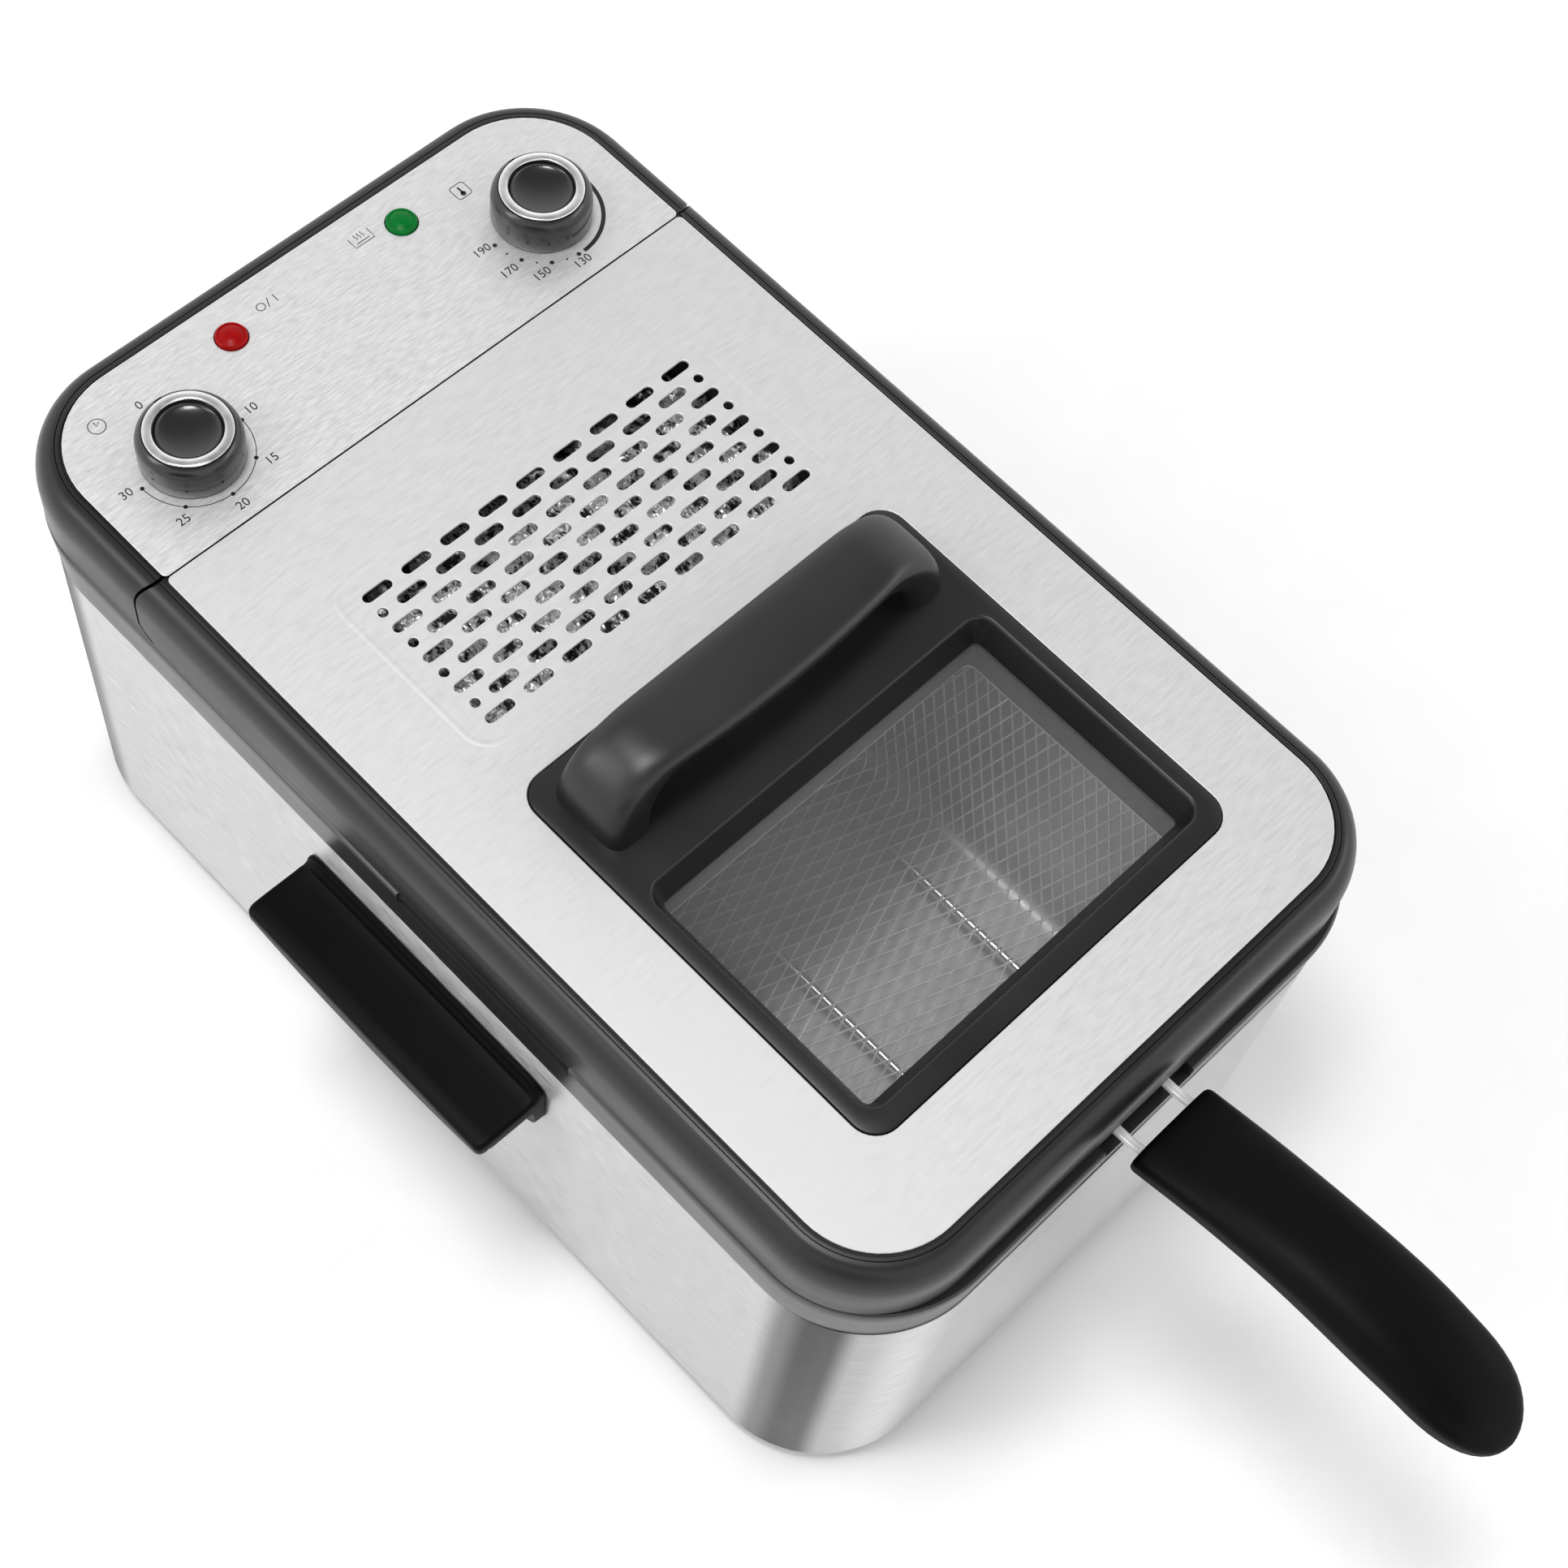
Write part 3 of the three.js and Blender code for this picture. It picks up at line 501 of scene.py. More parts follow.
def lamp_plastic(name, colour):
    """Tinted plastic, a little cloudy inside and faintly lit."""
    cloud = (260, 260, 260)
    lens = surface(name, colour, 0.3, cloud, 3, (0.82, 1.15), (0.26, 0.38), 0.02, specular=0.1)
    lens.set("Emission Color", (*colour, 1))
    lens.set("Emission Strength", 0.12)
    return lens.material


def printed(name, colour):
    """Screen-printed ink with an uneven gloss."""
    ink = (2500, 2500, 2500)
    return surface(name, colour, 0.5, ink, 2, (0.8, 1.25), (0.42, 0.6), specular=0.3).material


MATERIALS = {
    "steel_housing": wall_steel(),
    "plate_steel": brushed("plate_steel", (0.58, 0.58, 0.58), (140, 900, 400), 0.5, 0.0015, 0.012, 0.6),
    "panel_steel": brushed("panel_steel", (0.68, 0.68, 0.68), (200, 1700, 400), 0.44, 0.008, 0.07, 0.75),
    "bright_steel": bright("wire_steel", (0.86, 0.86, 0.87), 0.22),
    "mesh_steel": bright("mesh_steel", (0.97, 0.97, 0.98), 0.3, metallic=0.35),
    "strap_steel": bright("strap_steel", (0.98, 0.98, 0.98), 0.38, metallic=0.4),
    "chrome": bright("ring_chrome", (0.8, 0.8, 0.81), 0.2),
    "fastener_steel": bright("fastener_steel", (0.35, 0.35, 0.36), 0.36),
    "filter_mesh": crumpled_foil("filter_foil"),
    "pot_steel": brushed("pot_steel", (0.6, 0.6, 0.605), (120, 120, 900), 0.42, 0.008, 0.04, 0.6),
    "black_plastic": moulded("satin_black", (0.008, 0.008, 0.0082), 0.34, specular=0.4),
    "gloss_black": moulded("soft_black", (0.006, 0.006, 0.006), 0.36, specular=0.4),
    "white_plastic": moulded("white_plastic", (0.7, 0.67, 0.6), 0.45),
    "red_lens": lamp_plastic("red_lens", (0.24, 0.001, 0.0008)),
    "green_lens": lamp_plastic("green_lens", (0.0, 0.115, 0.016)),
    "rubber": rubbery("foot_rubber", (0.022, 0.022, 0.022), 0.75),
    "silicone": rubbery("seal_silicone", (0.06, 0.06, 0.065), 0.55),
    "glass": tinted_glass("window_glass"),
    "print": printed("panel_print", (0.012, 0.012, 0.012)),
    "knob_black": moulded("knob_black", (0.008, 0.008, 0.008), 0.24, coat=0.2),
    "collar_black": moulded("collar_black", (0.01, 0.01, 0.0105), 0.3, specular=0.6),
    "bridge_black": moulded("bridge_black", (0.007, 0.007, 0.007), 0.38, grain_mm=0.5, specular=0.5),
    "handle_black": moulded("handle_black", (0.0015, 0.0015, 0.0015), 0.42, grain_mm=0.5, specular=0.08),
}


def hand_over(obj, body, slot, material=None, replaces=()):
    """Gives a piece its material, hangs it from its body and hides the CAD nodes it stands in for. slot
    picks the material when none is given.
    """
    obj.data.materials.clear()
    obj.data.materials.append(MATERIALS[material or slot])
    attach(obj, body)
    if replaces:
        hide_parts(*replaces)
    return obj


# ---- sizes taken from the frame ------------------------------------------------------------
plate_low, plate_high = span("lid_plate")
panel_low, panel_high = span("control_panel")
lid_low, lid_high = span("lid_frame")
_, housing_high = span("control_housing")
collar_low, collar_high = span("rim_collar")
pin_low, pin_high = span("hinge_pin_left")

PLATE = Outline(plate_high.x, plate_low.y, panel_high.y, 29.5, 32.5)
PLATE_TOP = plate_high.z
LID_EDGE = plate_high.y
PANEL_EDGE = panel_low.y
RIM = Outline(lid_high.x, lid_low.y, housing_high.y, 39, 42)
RIM_TOP = lid_high.z
RIM_OUT = RIM.half_x - PLATE.half_x
BULL_ACROSS = 7.2
BULL_DROP = 12
SEAM_Z = lid_low.z
HINGE_Y = (pin_low.y + pin_high.y) / 2
HINGE_Z = (pin_low.z + pin_high.z) / 2
HINGE_X = -(pin_low.x + pin_high.x) / 2
BARREL_R = 12.65
BARREL_GAP = 1.0
LID_CEILING = 198.2
SIDES = (("left", -1), ("right", 1))


# ---- housing -------------------------------------------------------------------------------
def wall_shell():
    """The steel wall, open at the top, with its lower edge turned in."""
    wall = Outline(shell_high.x, shell_low.y, shell_high.y, WALL_R)
    z0, z1 = shell_low.z, shell_high.z
    thick = 1.2
    profile = [(-2.2, z0), (-0.9, z0), (-0.25, z0 + 0.5), (0, z0 + 1.4), (0, z1 - 0.4), (-0.2, z1),
               (-thick, z1), (-thick, z0 + 1.6), (-2.2, z0 + 1.2)]
    obj = stack("wall_shell", wall, profile, closed=True, steps=24)
    inlet_low, inlet_high = span("cord_inlet")
    edge = 5
    opening = block("inlet_hole", inlet_low.x + edge, inlet_high.x - edge, shell_high.y - 9,
                    shell_high.y + 3, inlet_low.z + edge, inlet_high.z - edge)
    carve(obj, opening)
    smooth(obj)
    hand_over(obj, "housing", "steel_housing", replaces=["outer_shell"])


def collar():
    """The black band between the wall and the lid, with the pot's seat and the control bay."""
    z0, z1 = shell_high.z + 0.3, collar_high.z
    band = Outline(collar_high.x, collar_low.y, collar_high.y, 44.5)
    profile = [(-4, z0), (-1.5, z0), (-1.45, z0 + 0.4)]
    profile += [(-1.45 + 1.45 * t, z0 + 0.4 + (z1 - 1.4 - z0) * t) for t in (0.35, 0.7, 1)]
    profile += [(-0.25, z1 - 0.4), (-0.9, z1)]
    obj = stack("collar", band, profile, steps=24)
    flange_low, flange_high = span("inner_pot")
    seat = Outline(flange_high.x + 0.6, flange_low.y - 0.6, flange_high.y + 0.6, 35.6)
    seat_z = 168
    tools = [
        stack("seat", seat, [(0, seat_z), (0, z1 + 5)], steps=12),
        stack("mouth", seat, [(-4.9, z0 - 20), (-4.9, z1 + 5)], steps=12),
        stack("below", seat, [(4, z0 - 20), (4, seat_z - 5)], steps=12),
        stack("control_bay", Outline(104, 124, 196, 22), [(0, z0 - 20), (0, z1 + 5)], steps=10),
        stack("strap_notch", Outline(20, -230, flange_low.y + 3, 2.5),
              [(0, seat_z + 0.5), (0, z1 + 5)], steps=6),
    ]
    for side in (-1, 1):
        x = side * band.half_x
        recess = Outline(1.8, -75.5, 2, 1.6)
        tool = stack("finger_recess", recess, [(0, z1 - 6), (0, z1 + 5)], steps=4)
        tool.data.transform(Matrix.Translation((x * MM, 0, 0)))
        tools.append(tool)
    carve(obj, *tools)
    smooth(obj, 28)
    hand_over(obj, "housing", "black_plastic", "collar_black", ["rim_collar"])


def rim_solid(name, z0):
    """The full-length rim with its round upper edge, the ledge and the groove round the plates."""
    top = RIM_TOP
    inner = RIM_OUT - BULL_ACROSS
    profile = [(RIM_OUT - 1, z0), (RIM_OUT - 0.3, z0 + 0.25), (RIM_OUT, z0 + 0.9)]
    for i in range(13):
        a = math.radians(90 - 90 * i / 12)
        profile.append((inner + BULL_ACROSS * math.sin(a), top - BULL_DROP * (1 - math.cos(a))))
    profile += [(inner - 0.15, top - 0.45), (inner - 0.35, top - 0.1), (inner - 0.6, top - 0.02),
                (1.0, top - 0.02), (0.75, top - 0.25), (0.7, PLATE_TOP - 1.3)]
    return stack(name, PLATE, profile, steps=20)


def arc(centre, r, start, end, steps):
    """Points on a circle in the side view, between two angles."""
    cy, cz = centre
    angles = [math.radians(start + (end - start) * i / steps) for i in range(steps + 1)]
    return [(cy + r * math.cos(a), cz + r * math.sin(a)) for a in angles]


def lid_side(extra=0.0):
    """Side outline of the lid, with its round rear end about the hinge. extra makes it larger."""
    centre = (HINGE_Y, HINGE_Z)
    r = BARREL_R + extra
    low_r = HINGE_Z - SEAM_Z + extra
    top = PLATE_TOP + 12
    turn = math.degrees(math.acos(r / low_r))
    rise = math.degrees(math.asin((PLATE_TOP - HINGE_Z) / r))
    outline = [(-240, HINGE_Z - low_r)]
    outline += arc(centre, low_r, -90, -turn, 8)
    outline += arc(centre, r, 0, rise, 10)
    return outline + [(outline[-1][0], top), (-240, top)]


def rim_hollow(low, high, front, rear):
    """The room inside the rim's wall between two heights, over one stretch of its length."""
    wall = 4
    rim = Outline(RIM.half_x, RIM.front, RIM.rear, RIM.front_r - 0.4)
    hollow = stack("hollow", rim, [(-wall, low), (-wall, high)], steps=16)
    return carve(hollow, block("stretch", -130, 130, front, rear, 140, 205), operation="INTERSECT")


def lid_shell():
    """The black plastic body of the lid: its rim, rear barrel, hinge ears and hollow underside."""
    obj = rim_solid("lid_shell", SEAM_Z)
    carve(obj, side_cutter("lid_side", lid_side()), operation="INTERSECT")
    opening = stack("opening", PLATE, [(-8, 190), (-8, 210)], steps=12)
    carve(opening, block("front_part", -130, 130, -215, 96, 180, 215), operation="INTERSECT")
    carve(obj, rim_hollow(160, LID_CEILING, -215, 121.4), opening)
    for side in (-1, 1):
        x = side * HINGE_X
        for offset in (-7.6, 7.6):
            ear = block("ear", x + offset - 2.9, x + offset + 2.9, HINGE_Y - 8, HINGE_Y + 10.5,
                        HINGE_Z - 8, LID_CEILING + 0.4)
            carve(obj, ear, operation="UNION")
        pocket = block("pocket", x - 4.5, x + 4.5, HINGE_Y - 12, HINGE_Y + 20, 150, HINGE_Z + 7)
        bore = sweep("bore", [Vector((x - 14, HINGE_Y, HINGE_Z)), Vector((x + 14, HINGE_Y, HINGE_Z))],
                     circle(2.6, 24), side=Vector((0, 1, 0)))
        carve(obj, pocket, bore)
    smooth(obj, 28)
    hand_over(obj, "lid", "black_plastic", replaces=["lid_frame"])


def control_shell():
    """The black rim and deck around the control panel."""
    obj = rim_solid("control_shell", SEAM_Z - 0.2)
    (front, lowest), *outline = lid_side(BARREL_GAP)
    carve(obj, side_cutter("lid_sweep", [(front, lowest - 30), *outline]))
    carve(obj, rim_hollow(150, 198.6, HINGE_Y + 17.6, 215))
    smooth(obj, 28)
    hand_over(obj, "housing", "black_plastic", replaces=["control_housing"])


# ---- control panel -------------------------------------------------------------------------
KNOB_R = 17.3
KNOB_SEAT = PLATE_TOP + 0.3
KNOB_SEGMENTS = 96
LAMP_R = 5.4
lamp_low, lamp_high = span("red_lamp_lens")
knob_low, knob_high = span("thermostat_knob")
LAMP_X = -(lamp_low.x + lamp_high.x) / 2
LAMP_Y = (lamp_low.y + lamp_high.y) / 2
KNOB_X = (knob_low.x + knob_high.x) / 2
KNOB_Y = (knob_low.y + knob_high.y) / 2


def ring_points(x, y, r, count=28):
    """Points on a circle seen from above."""
    return [(x + u, y + v) for u, v in circle(r, count)]


def control_panel():
    """The brushed plate that carries the knobs and lamps."""
    panel = Outline(PLATE.half_x, PANEL_EDGE - 0.4, PLATE.rear, 2, PLATE.rear_r)
    holes = [ring_points(side * LAMP_X, LAMP_Y, LAMP_R + 0.35) for side in (-1, 1)]
    holes += [ring_points(side * KNOB_X, KNOB_Y, 4) for side in (-1, 1)]
    obj = sheet_with_holes("panel_sheet", flat(panel.loop(0)), holes, PLATE_TOP - 0.5, PLATE_TOP, 0.2)
    smooth(obj)
    hand_over(obj, "housing", "plate_steel", "panel_steel", ["control_panel"])


def lamp(colour, side):
    """A round lens with a raised rim and a domed middle."""
    top = PLATE_TOP
    r = LAMP_R
    profile = [(0, top - 2.8), (r - 0.1, top - 2.8), (r, top - 2.6), (r, top + 0.5),
               (r - 0.15, top + 0.9), (r - 0.6, top + 1.2), (r - 0.95, top + 1.15), (r - 1.1, top + 0.95),
               (r - 1.5, top + 1.1), (r * 0.5, top + 1.75), (r * 0.2, top + 1.95), (0, top + 2)]
    obj = lathe(f"{colour}_lamp", profile, (side * LAMP_X, LAMP_Y), 48)
    smooth(obj, 40)
    hand_over(obj, "housing", f"{colour}_lens", replaces=[f"{colour}_lamp_lens"])


STROKE = 0.3  # width of a printed line


class Print:
    """Flat ink marks that lie just on top of the panel, gathered into one object."""

    def __init__(self, name):
        self.name = name
        self.z = PLATE_TOP + 0.03
        self.points = []
        self.faces = []
        self.texts = []

    def polygon(self, points):
        first = len(self.points)
        self.points += [(x, y, self.z) for x, y in points]
        self.faces.append(tuple(range(first, len(self.points))))

    def dot(self, x, y, r):
        self.polygon(ring_points(x, y, r, 20))

    def line(self, points, width, cyclic=False):
        """A ribbon of that width along the points."""
        count = len(points)
        edges = []
        for i, (x, y) in enumerate(points):
            before = points[(i - 1) % count] if cyclic or i > 0 else points[i]
            after = points[(i + 1) % count] if cyclic or i < count - 1 else points[i]
            along = Vector((after[0] - before[0], after[1] - before[1])).normalized() * width / 2
            edges.append(((x - along.y, y + along.x), (x + along.y, y - along.x)))
        for i in range(count if cyclic else count - 1):
            a, b = edges[i], edges[(i + 1) % count]
            self.polygon([a[0], a[1], b[1], b[0]])

    def arc(self, x, y, r, start, end, width):
        steps = max(int(abs(end - start) / 4), 6)
        angles = [math.radians(start + (end - start) * i / steps) for i in range(steps + 1)]
        self.line([(x + r * math.cos(a), y + r * math.sin(a)) for a in angles], width)

    def circle(self, x, y, r, width):
        self.line(ring_points(x, y, r, 32), width, cyclic=True)

    def number(self, body, x, y):
        curve = bpy.data.curves.new(self.name, "FONT")
        curve.body = body
        curve.size = 4.6 * MM
        curve.align_x = "CENTER"
        curve.align_y = "CENTER"
        curve.resolution_u = 3
        holder = baked_curve(self.name + "_text", curve)
        holder.data.transform(Matrix.Translation(Vector((x, y + BODY_Y, self.z)) * MM))
        self.texts.append(holder)

    def done(self):
        obj = to_mesh(self.name, self.points, self.faces)
        bm = bmesh.new()
        bm.from_mesh(obj.data)
        for text in self.texts:
            bm.from_mesh(text.data)
            bpy.data.objects.remove(text)
        for face in bm.faces:
            if face.normal.z < 0:
                face.normal_flip()
        bm.to_mesh(obj.data)
        bm.free()
        hand_over(obj, "housing", "black_plastic", "print")


def timer_print():
    """Minutes round the left knob, and a clock."""
    marks = Print("timer_print")
    x, y, r = -KNOB_X, KNOB_Y, 20
    label_r = 25
    marks.arc(x, y, r, 0, -180, STROKE)
    for angle, minutes in ((0, "10"), (-45, "15"), (-90, "20"), (-135, "25"), (-180, "30")):
        a = math.radians(angle)
        marks.dot(x + r * math.cos(a), y + r * math.sin(a), 0.75)
        lift = 1.6 if angle in (0, -180) else 0
        marks.number(minutes, x + label_r * math.cos(a), y + label_r * math.sin(a) + lift)
    marks.number("0", x - 1, y + label_r + 0.5)
    clock_x, clock_y = x - 16, y + 27.8
    marks.circle(clock_x, clock_y, 2.9, STROKE)
    marks.line([(clock_x, clock_y + 2), (clock_x, clock_y), (clock_x + 1.4, clock_y + 0.9)], STROKE)
    marks.done()


def thermostat_print():
    """Degrees round the right knob, the thick arc for keeping warm, and a thermometer."""
    marks = Print("thermostat_print")
    x, y, r = KNOB_X, KNOB_Y, 21
    for angle, degrees, dx, dy in (
            (180, "190", -25.8, 1), (209.5, "170", -24.5, -11.2), (237.5, "150", -17, -19.2),
            (264.5, "130", -3, -24)):
        a = math.radians(angle)
        marks.dot(x + r * math.cos(a), y + r * math.sin(a), 0.8)
        marks.number(degrees, x + dx, y + dy)
    for angle in (194.5, 223.7, 252):
        a = math.radians(angle)
        marks.dot(x + r * math.cos(a), y + r * math.sin(a), 0.38)
    marks.arc(x, y, r, 271, 358, 1.5)
    bulb_x, bulb_y = x - 14.3, y + 24.4
    frame_ring = Outline(2.9, bulb_y - 2.6, bulb_y + 3.4, 1.1).loop(0, 5)
    marks.line([(bulb_x + px, py) for px, py, _ in frame_ring], 0.28, cyclic=True)
    marks.dot(bulb_x, bulb_y - 1, 1)
    marks.line([(bulb_x, bulb_y - 1), (bulb_x, bulb_y + 2.2)], 0.7)
    marks.done()


def lamp_print():
    """A steaming pan by the green lamp, and off and on marks by the red one."""
    marks = Print("lamp_print")
    x, y = 21.7, LAMP_Y + 3.5
    marks.line([(x - 4, y + 2.2), (x - 4, y - 2.2), (x + 4, y - 2.2), (x + 4, y + 2.2)], STROKE)
    marks.line([(x - 2.6, y - 1), (x + 2.6, y - 1)], STROKE)
    for offset in (-1.4, 0, 1.4):
        wave = [(x + offset + 0.25 * math.sin(i * 1.1), y + 0.2 + i * 0.42) for i in range(7)]
        marks.line(wave, 0.26)
    x, y = -18.5, LAMP_Y + 3.1
    marks.circle(x - 3, y, 1.5, STROKE)
    marks.line([(x - 0.8, y - 1.8), (x + 0.8, y + 1.8)], STROKE)
    marks.line([(x + 3, y - 1.6), (x + 3, y + 1.6)], STROKE)
    marks.done()


def knob(name, side):
    """A black skirt with a marker notch, a steel ring let into its top and a hollow dish inside it."""
    z = KNOB_SEAT
    centre = (side * KNOB_X, KNOB_Y)
    r = KNOB_R
    body = [(0, z + 7.3), (3.3, z + 7.3), (3.4, z + 0.3), (3.7, z), (r - 0.7, z), (r - 0.2, z + 0.3),
            (r, z + 0.9), (r, z + 8.6), (r - 0.12, z + 9.1), (r - 0.1, z + 9.5), (r - 0.35, z + 10.4),
            (r - 0.95, z + 11.8), (r - 1.8, z + 12.8), (r - 2.4, z + 13.15), (14.75, z + 13.15),
            (14.68, z + 12.9), (14.68, z + 12.2), (11.1, z + 12.2), (11, z + 11.9), (11, z + 9.7),
            (0, z + 9.7)]
    skirt = lathe(f"{name}_skirt", body, centre, KNOB_SEGMENTS)
    notch = lathe("notch", [(0, z + 11.5), (1.5, z + 11.5), (1.5, z + 16), (0, z + 16)],
                  (centre[0], centre[1] + 15.6), 24)
    carve(skirt, notch)
    smooth(skirt, 30)
    hand_over(skirt, f"{name}_knob", "gloss_black", "knob_black", [f"{name}_knob"])
    seat = z + 12.5
    band = [(14.4, seat), (14.45, seat + 1), (14.25, seat + 1.35), (14, seat + 1.45), (11.75, seat + 1.45),
            (11.5, seat + 1.35), (11.3, seat + 1), (11.35, seat)]
    ring = turned(f"{name}_ring", band, centre, KNOB_SEGMENTS)
    smooth(ring, 30)
    hand_over(ring, f"{name}_knob", "chrome", replaces=[f"{name}_knob_ring"])
    hollow_r, hollow_z, hollow_deep = 10.45, z + 10.9, 1.95
    dish = [(0, z + 9.95), (10.6, z + 9.95), (10.7, z + 10.2), (10.7, z + 12.6),
            (hollow_r, hollow_z + hollow_deep)]
    for i in range(10):
        a = math.radians(80 - 8 * i)
        dish.append((hollow_r * math.sin(a), hollow_z + hollow_deep * (1 - math.cos(a)) ** 0.9))
    dish.append((0, hollow_z))
    cap = lathe(f"{name}_dish", dish, centre, KNOB_SEGMENTS)
    smooth(cap, 30)
    hand_over(cap, f"{name}_knob", "black_plastic", "knob_black", [f"{name}_knob_cap"])


# ---- lid -----------------------------------------------------------------------------------
VENT_LONG, VENT_WIDE = 11.2, 3.6
VENT_HOLE_R, VENT_HOLE_X = 1.7, 67.8
VENT_STEP_X, VENT_STEP_Y = 16, 14.25
VENT_ROWS, VENT_COLUMNS = 5, 9
VENT_FIRST_Y = 74.1
VENT_BORDER = Outline(77.5, 8.8, 83.2, 9)
frame_low, frame_high = span("window_frame")
_, glass_high = span("window_glass")
WINDOW = Outline(frame_high.x, frame_low.y, frame_high.y, 9)
OPENING = Outline(73, -152, -57, 6)
WINDOW_TOP = PLATE_TOP + 0.4


def capsule(x, y, long, wide):
    """A slot with round ends."""
    steps = 6
    half = (long - wide) / 2
    points = []
    for side, start in ((1, -90), (-1, 90)):
        for i in range(steps + 1):
            a = math.radians(start + 180 * i / steps)
            points.append((x + side * half + wide / 2 * math.cos(a), y + wide / 2 * math.sin(a)))
    return points


def vents():
    """Rows of slots, with shifted rows between them that end in a round hole each side."""
    slots = []
    for row in range(VENT_ROWS):
        for column in range(VENT_COLUMNS):
            x = (column - (VENT_COLUMNS - 1) / 2) * VENT_STEP_X
            slots.append(capsule(x, VENT_FIRST_Y - row * VENT_STEP_Y, VENT_LONG, VENT_WIDE))
    for row in range(VENT_ROWS - 1):
        y = VENT_FIRST_Y - (row + 0.5) * VENT_STEP_Y
        for column in range(VENT_COLUMNS - 1):
            x = (column - (VENT_COLUMNS - 2) / 2) * VENT_STEP_X
            slots.append(capsule(x, y, VENT_LONG, VENT_WIDE))
        slots += [ring_points(side * VENT_HOLE_X, y, VENT_HOLE_R, 16) for side in (-1, 1)]
    return slots


def lid_sheet():
    """The steel plate with its slots, and the raised border round them."""
    edge = Outline(PLATE.half_x, PLATE.front, LID_EDGE + 0.15, PLATE.front_r, 2)
    holes = [flat(WINDOW.grown(0.4).loop(0, 8)), *vents()]
    obj = sheet_with_holes("lid_sheet", flat(edge.loop(0)), holes, PLATE_TOP - 1, PLATE_TOP, 0.28)
    smooth(obj)
    hand_over(obj, "lid", "plate_steel", replaces=["lid_plate"])
    bead = [(-1.6, -0.05), (-1, 0.02), (-0.4, 0.08), (0, 0.09), (0.4, 0.08), (1, 0.02), (1.6, -0.05)]
    bead = [(by, PLATE_TOP + z) for by, z in bead]
    border = stack("vent_border", VENT_BORDER, bead, closed=True, steps=10)
    smooth(border)
    hand_over(border, "lid", "plate_steel")


def window_frame():
    """The black surround of the window, with walls that slope in towards the glass."""
    top = WINDOW_TOP
    loops = [WINDOW.grown(by).loop(z, 10) for by, z in (
        (-0.4, top - 1.6), (0, top - 1.2), (0, top - 0.5), (-0.2, top - 0.12), (-0.6, top))]
    loops += [OPENING.grown(by).loop(z, 10) for by, z in (
        (1.3, top), (0.7, top - 0.12), (0.25, top - 0.5), (-0.1, top - 1.2), (-3.6, top - 8.6),
        (-3.8, top - 9.2), (-3.8, glass_high.z + 0.25), (1.6, glass_high.z + 0.25))]
    obj = skin("window_surround", loops, closed=True)
    smooth(obj, 40)
    hand_over(obj, "lid", "black_plastic", replaces=["window_frame"])


def bezier(a, b, c, d, steps):
    """A cubic curve between its end points a and d."""
    a, b, c, d = (Vector(p) for p in (a, b, c, d))
    curve = []
    for i in range(steps + 1):
        t = i / steps
        curve.append(a * (1 - t) ** 3 + b * 3 * t * (1 - t) ** 2 + c * 3 * t * t * (1 - t) + d * t ** 3)
    return curve


def signed_power(value, power):
    """A power that keeps the sign, used to square off or sharpen round sections."""
    return math.copysign(abs(value) ** power, value)


def lid_handle():
    """The bridge over the rear of the window surround: round on top, with a crisp lower edge."""
    base, top = WINDOW_TOP - 1.2, frame_high.z - 0.3
    under = top - 8.5
    outer_x, outer_flat = 72, 45
    inner_x, inner_flat = 55, 34
    outer = bezier((-outer_x, base), (-outer_x, base + 17), (-64, top), (-outer_flat, top), 16)
    inner = bezier((-inner_x, base), (-inner_x, base + 12), (-50, under), (-inner_flat, under), 16)
    steps = 12
    flat_outer = [Vector((outer_flat * (2 * i / steps - 1), top)) for i in range(1, steps)]
    flat_inner = [Vector((inner_flat * (2 * i / steps - 1), under)) for i in range(1, steps)]
    outer += flat_outer + [Vector((-p.x, p.y)) for p in reversed(outer)]
    inner += flat_inner + [Vector((-p.x, p.y)) for p in reversed(inner)]
    loops = []
    for out, inn in zip(outer, inner):
        height = min((out.y - base) / (top - base), 1)
        crown = max(0, 1 - (out.x / 55) ** 2)
        front = -43.5 + 2.5 * height - 2.6 * crown
        rear = -13.5 - 1.5 * height
        centre, half = (out + inn) / 2, (out - inn) / 2
        centre_y, half_y = (front + rear) / 2, (rear - front) / 2
        loop = []
        for i in range(48):
            a = 2 * math.pi * i / 48
            upper = math.sin(a) > 0
            across = signed_power(math.cos(a), 0.36 + 0.26 * height if upper else 0.28)
            outward = signed_power(math.sin(a), 0.5 + 0.3 * height if upper else 0.5)
            if not upper:
                outward *= 0.75 + 0.25 * (1 - abs(math.cos(a)) ** 3)
            point = centre + half * outward
            loop.append((point.x, centre_y + half_y * across, max(point.y, base)))
        loops.append(loop)
    obj = skin("lid_handle", loops)
    smooth(obj, 42)
    hand_over(obj, "lid", "black_plastic", "bridge_black")


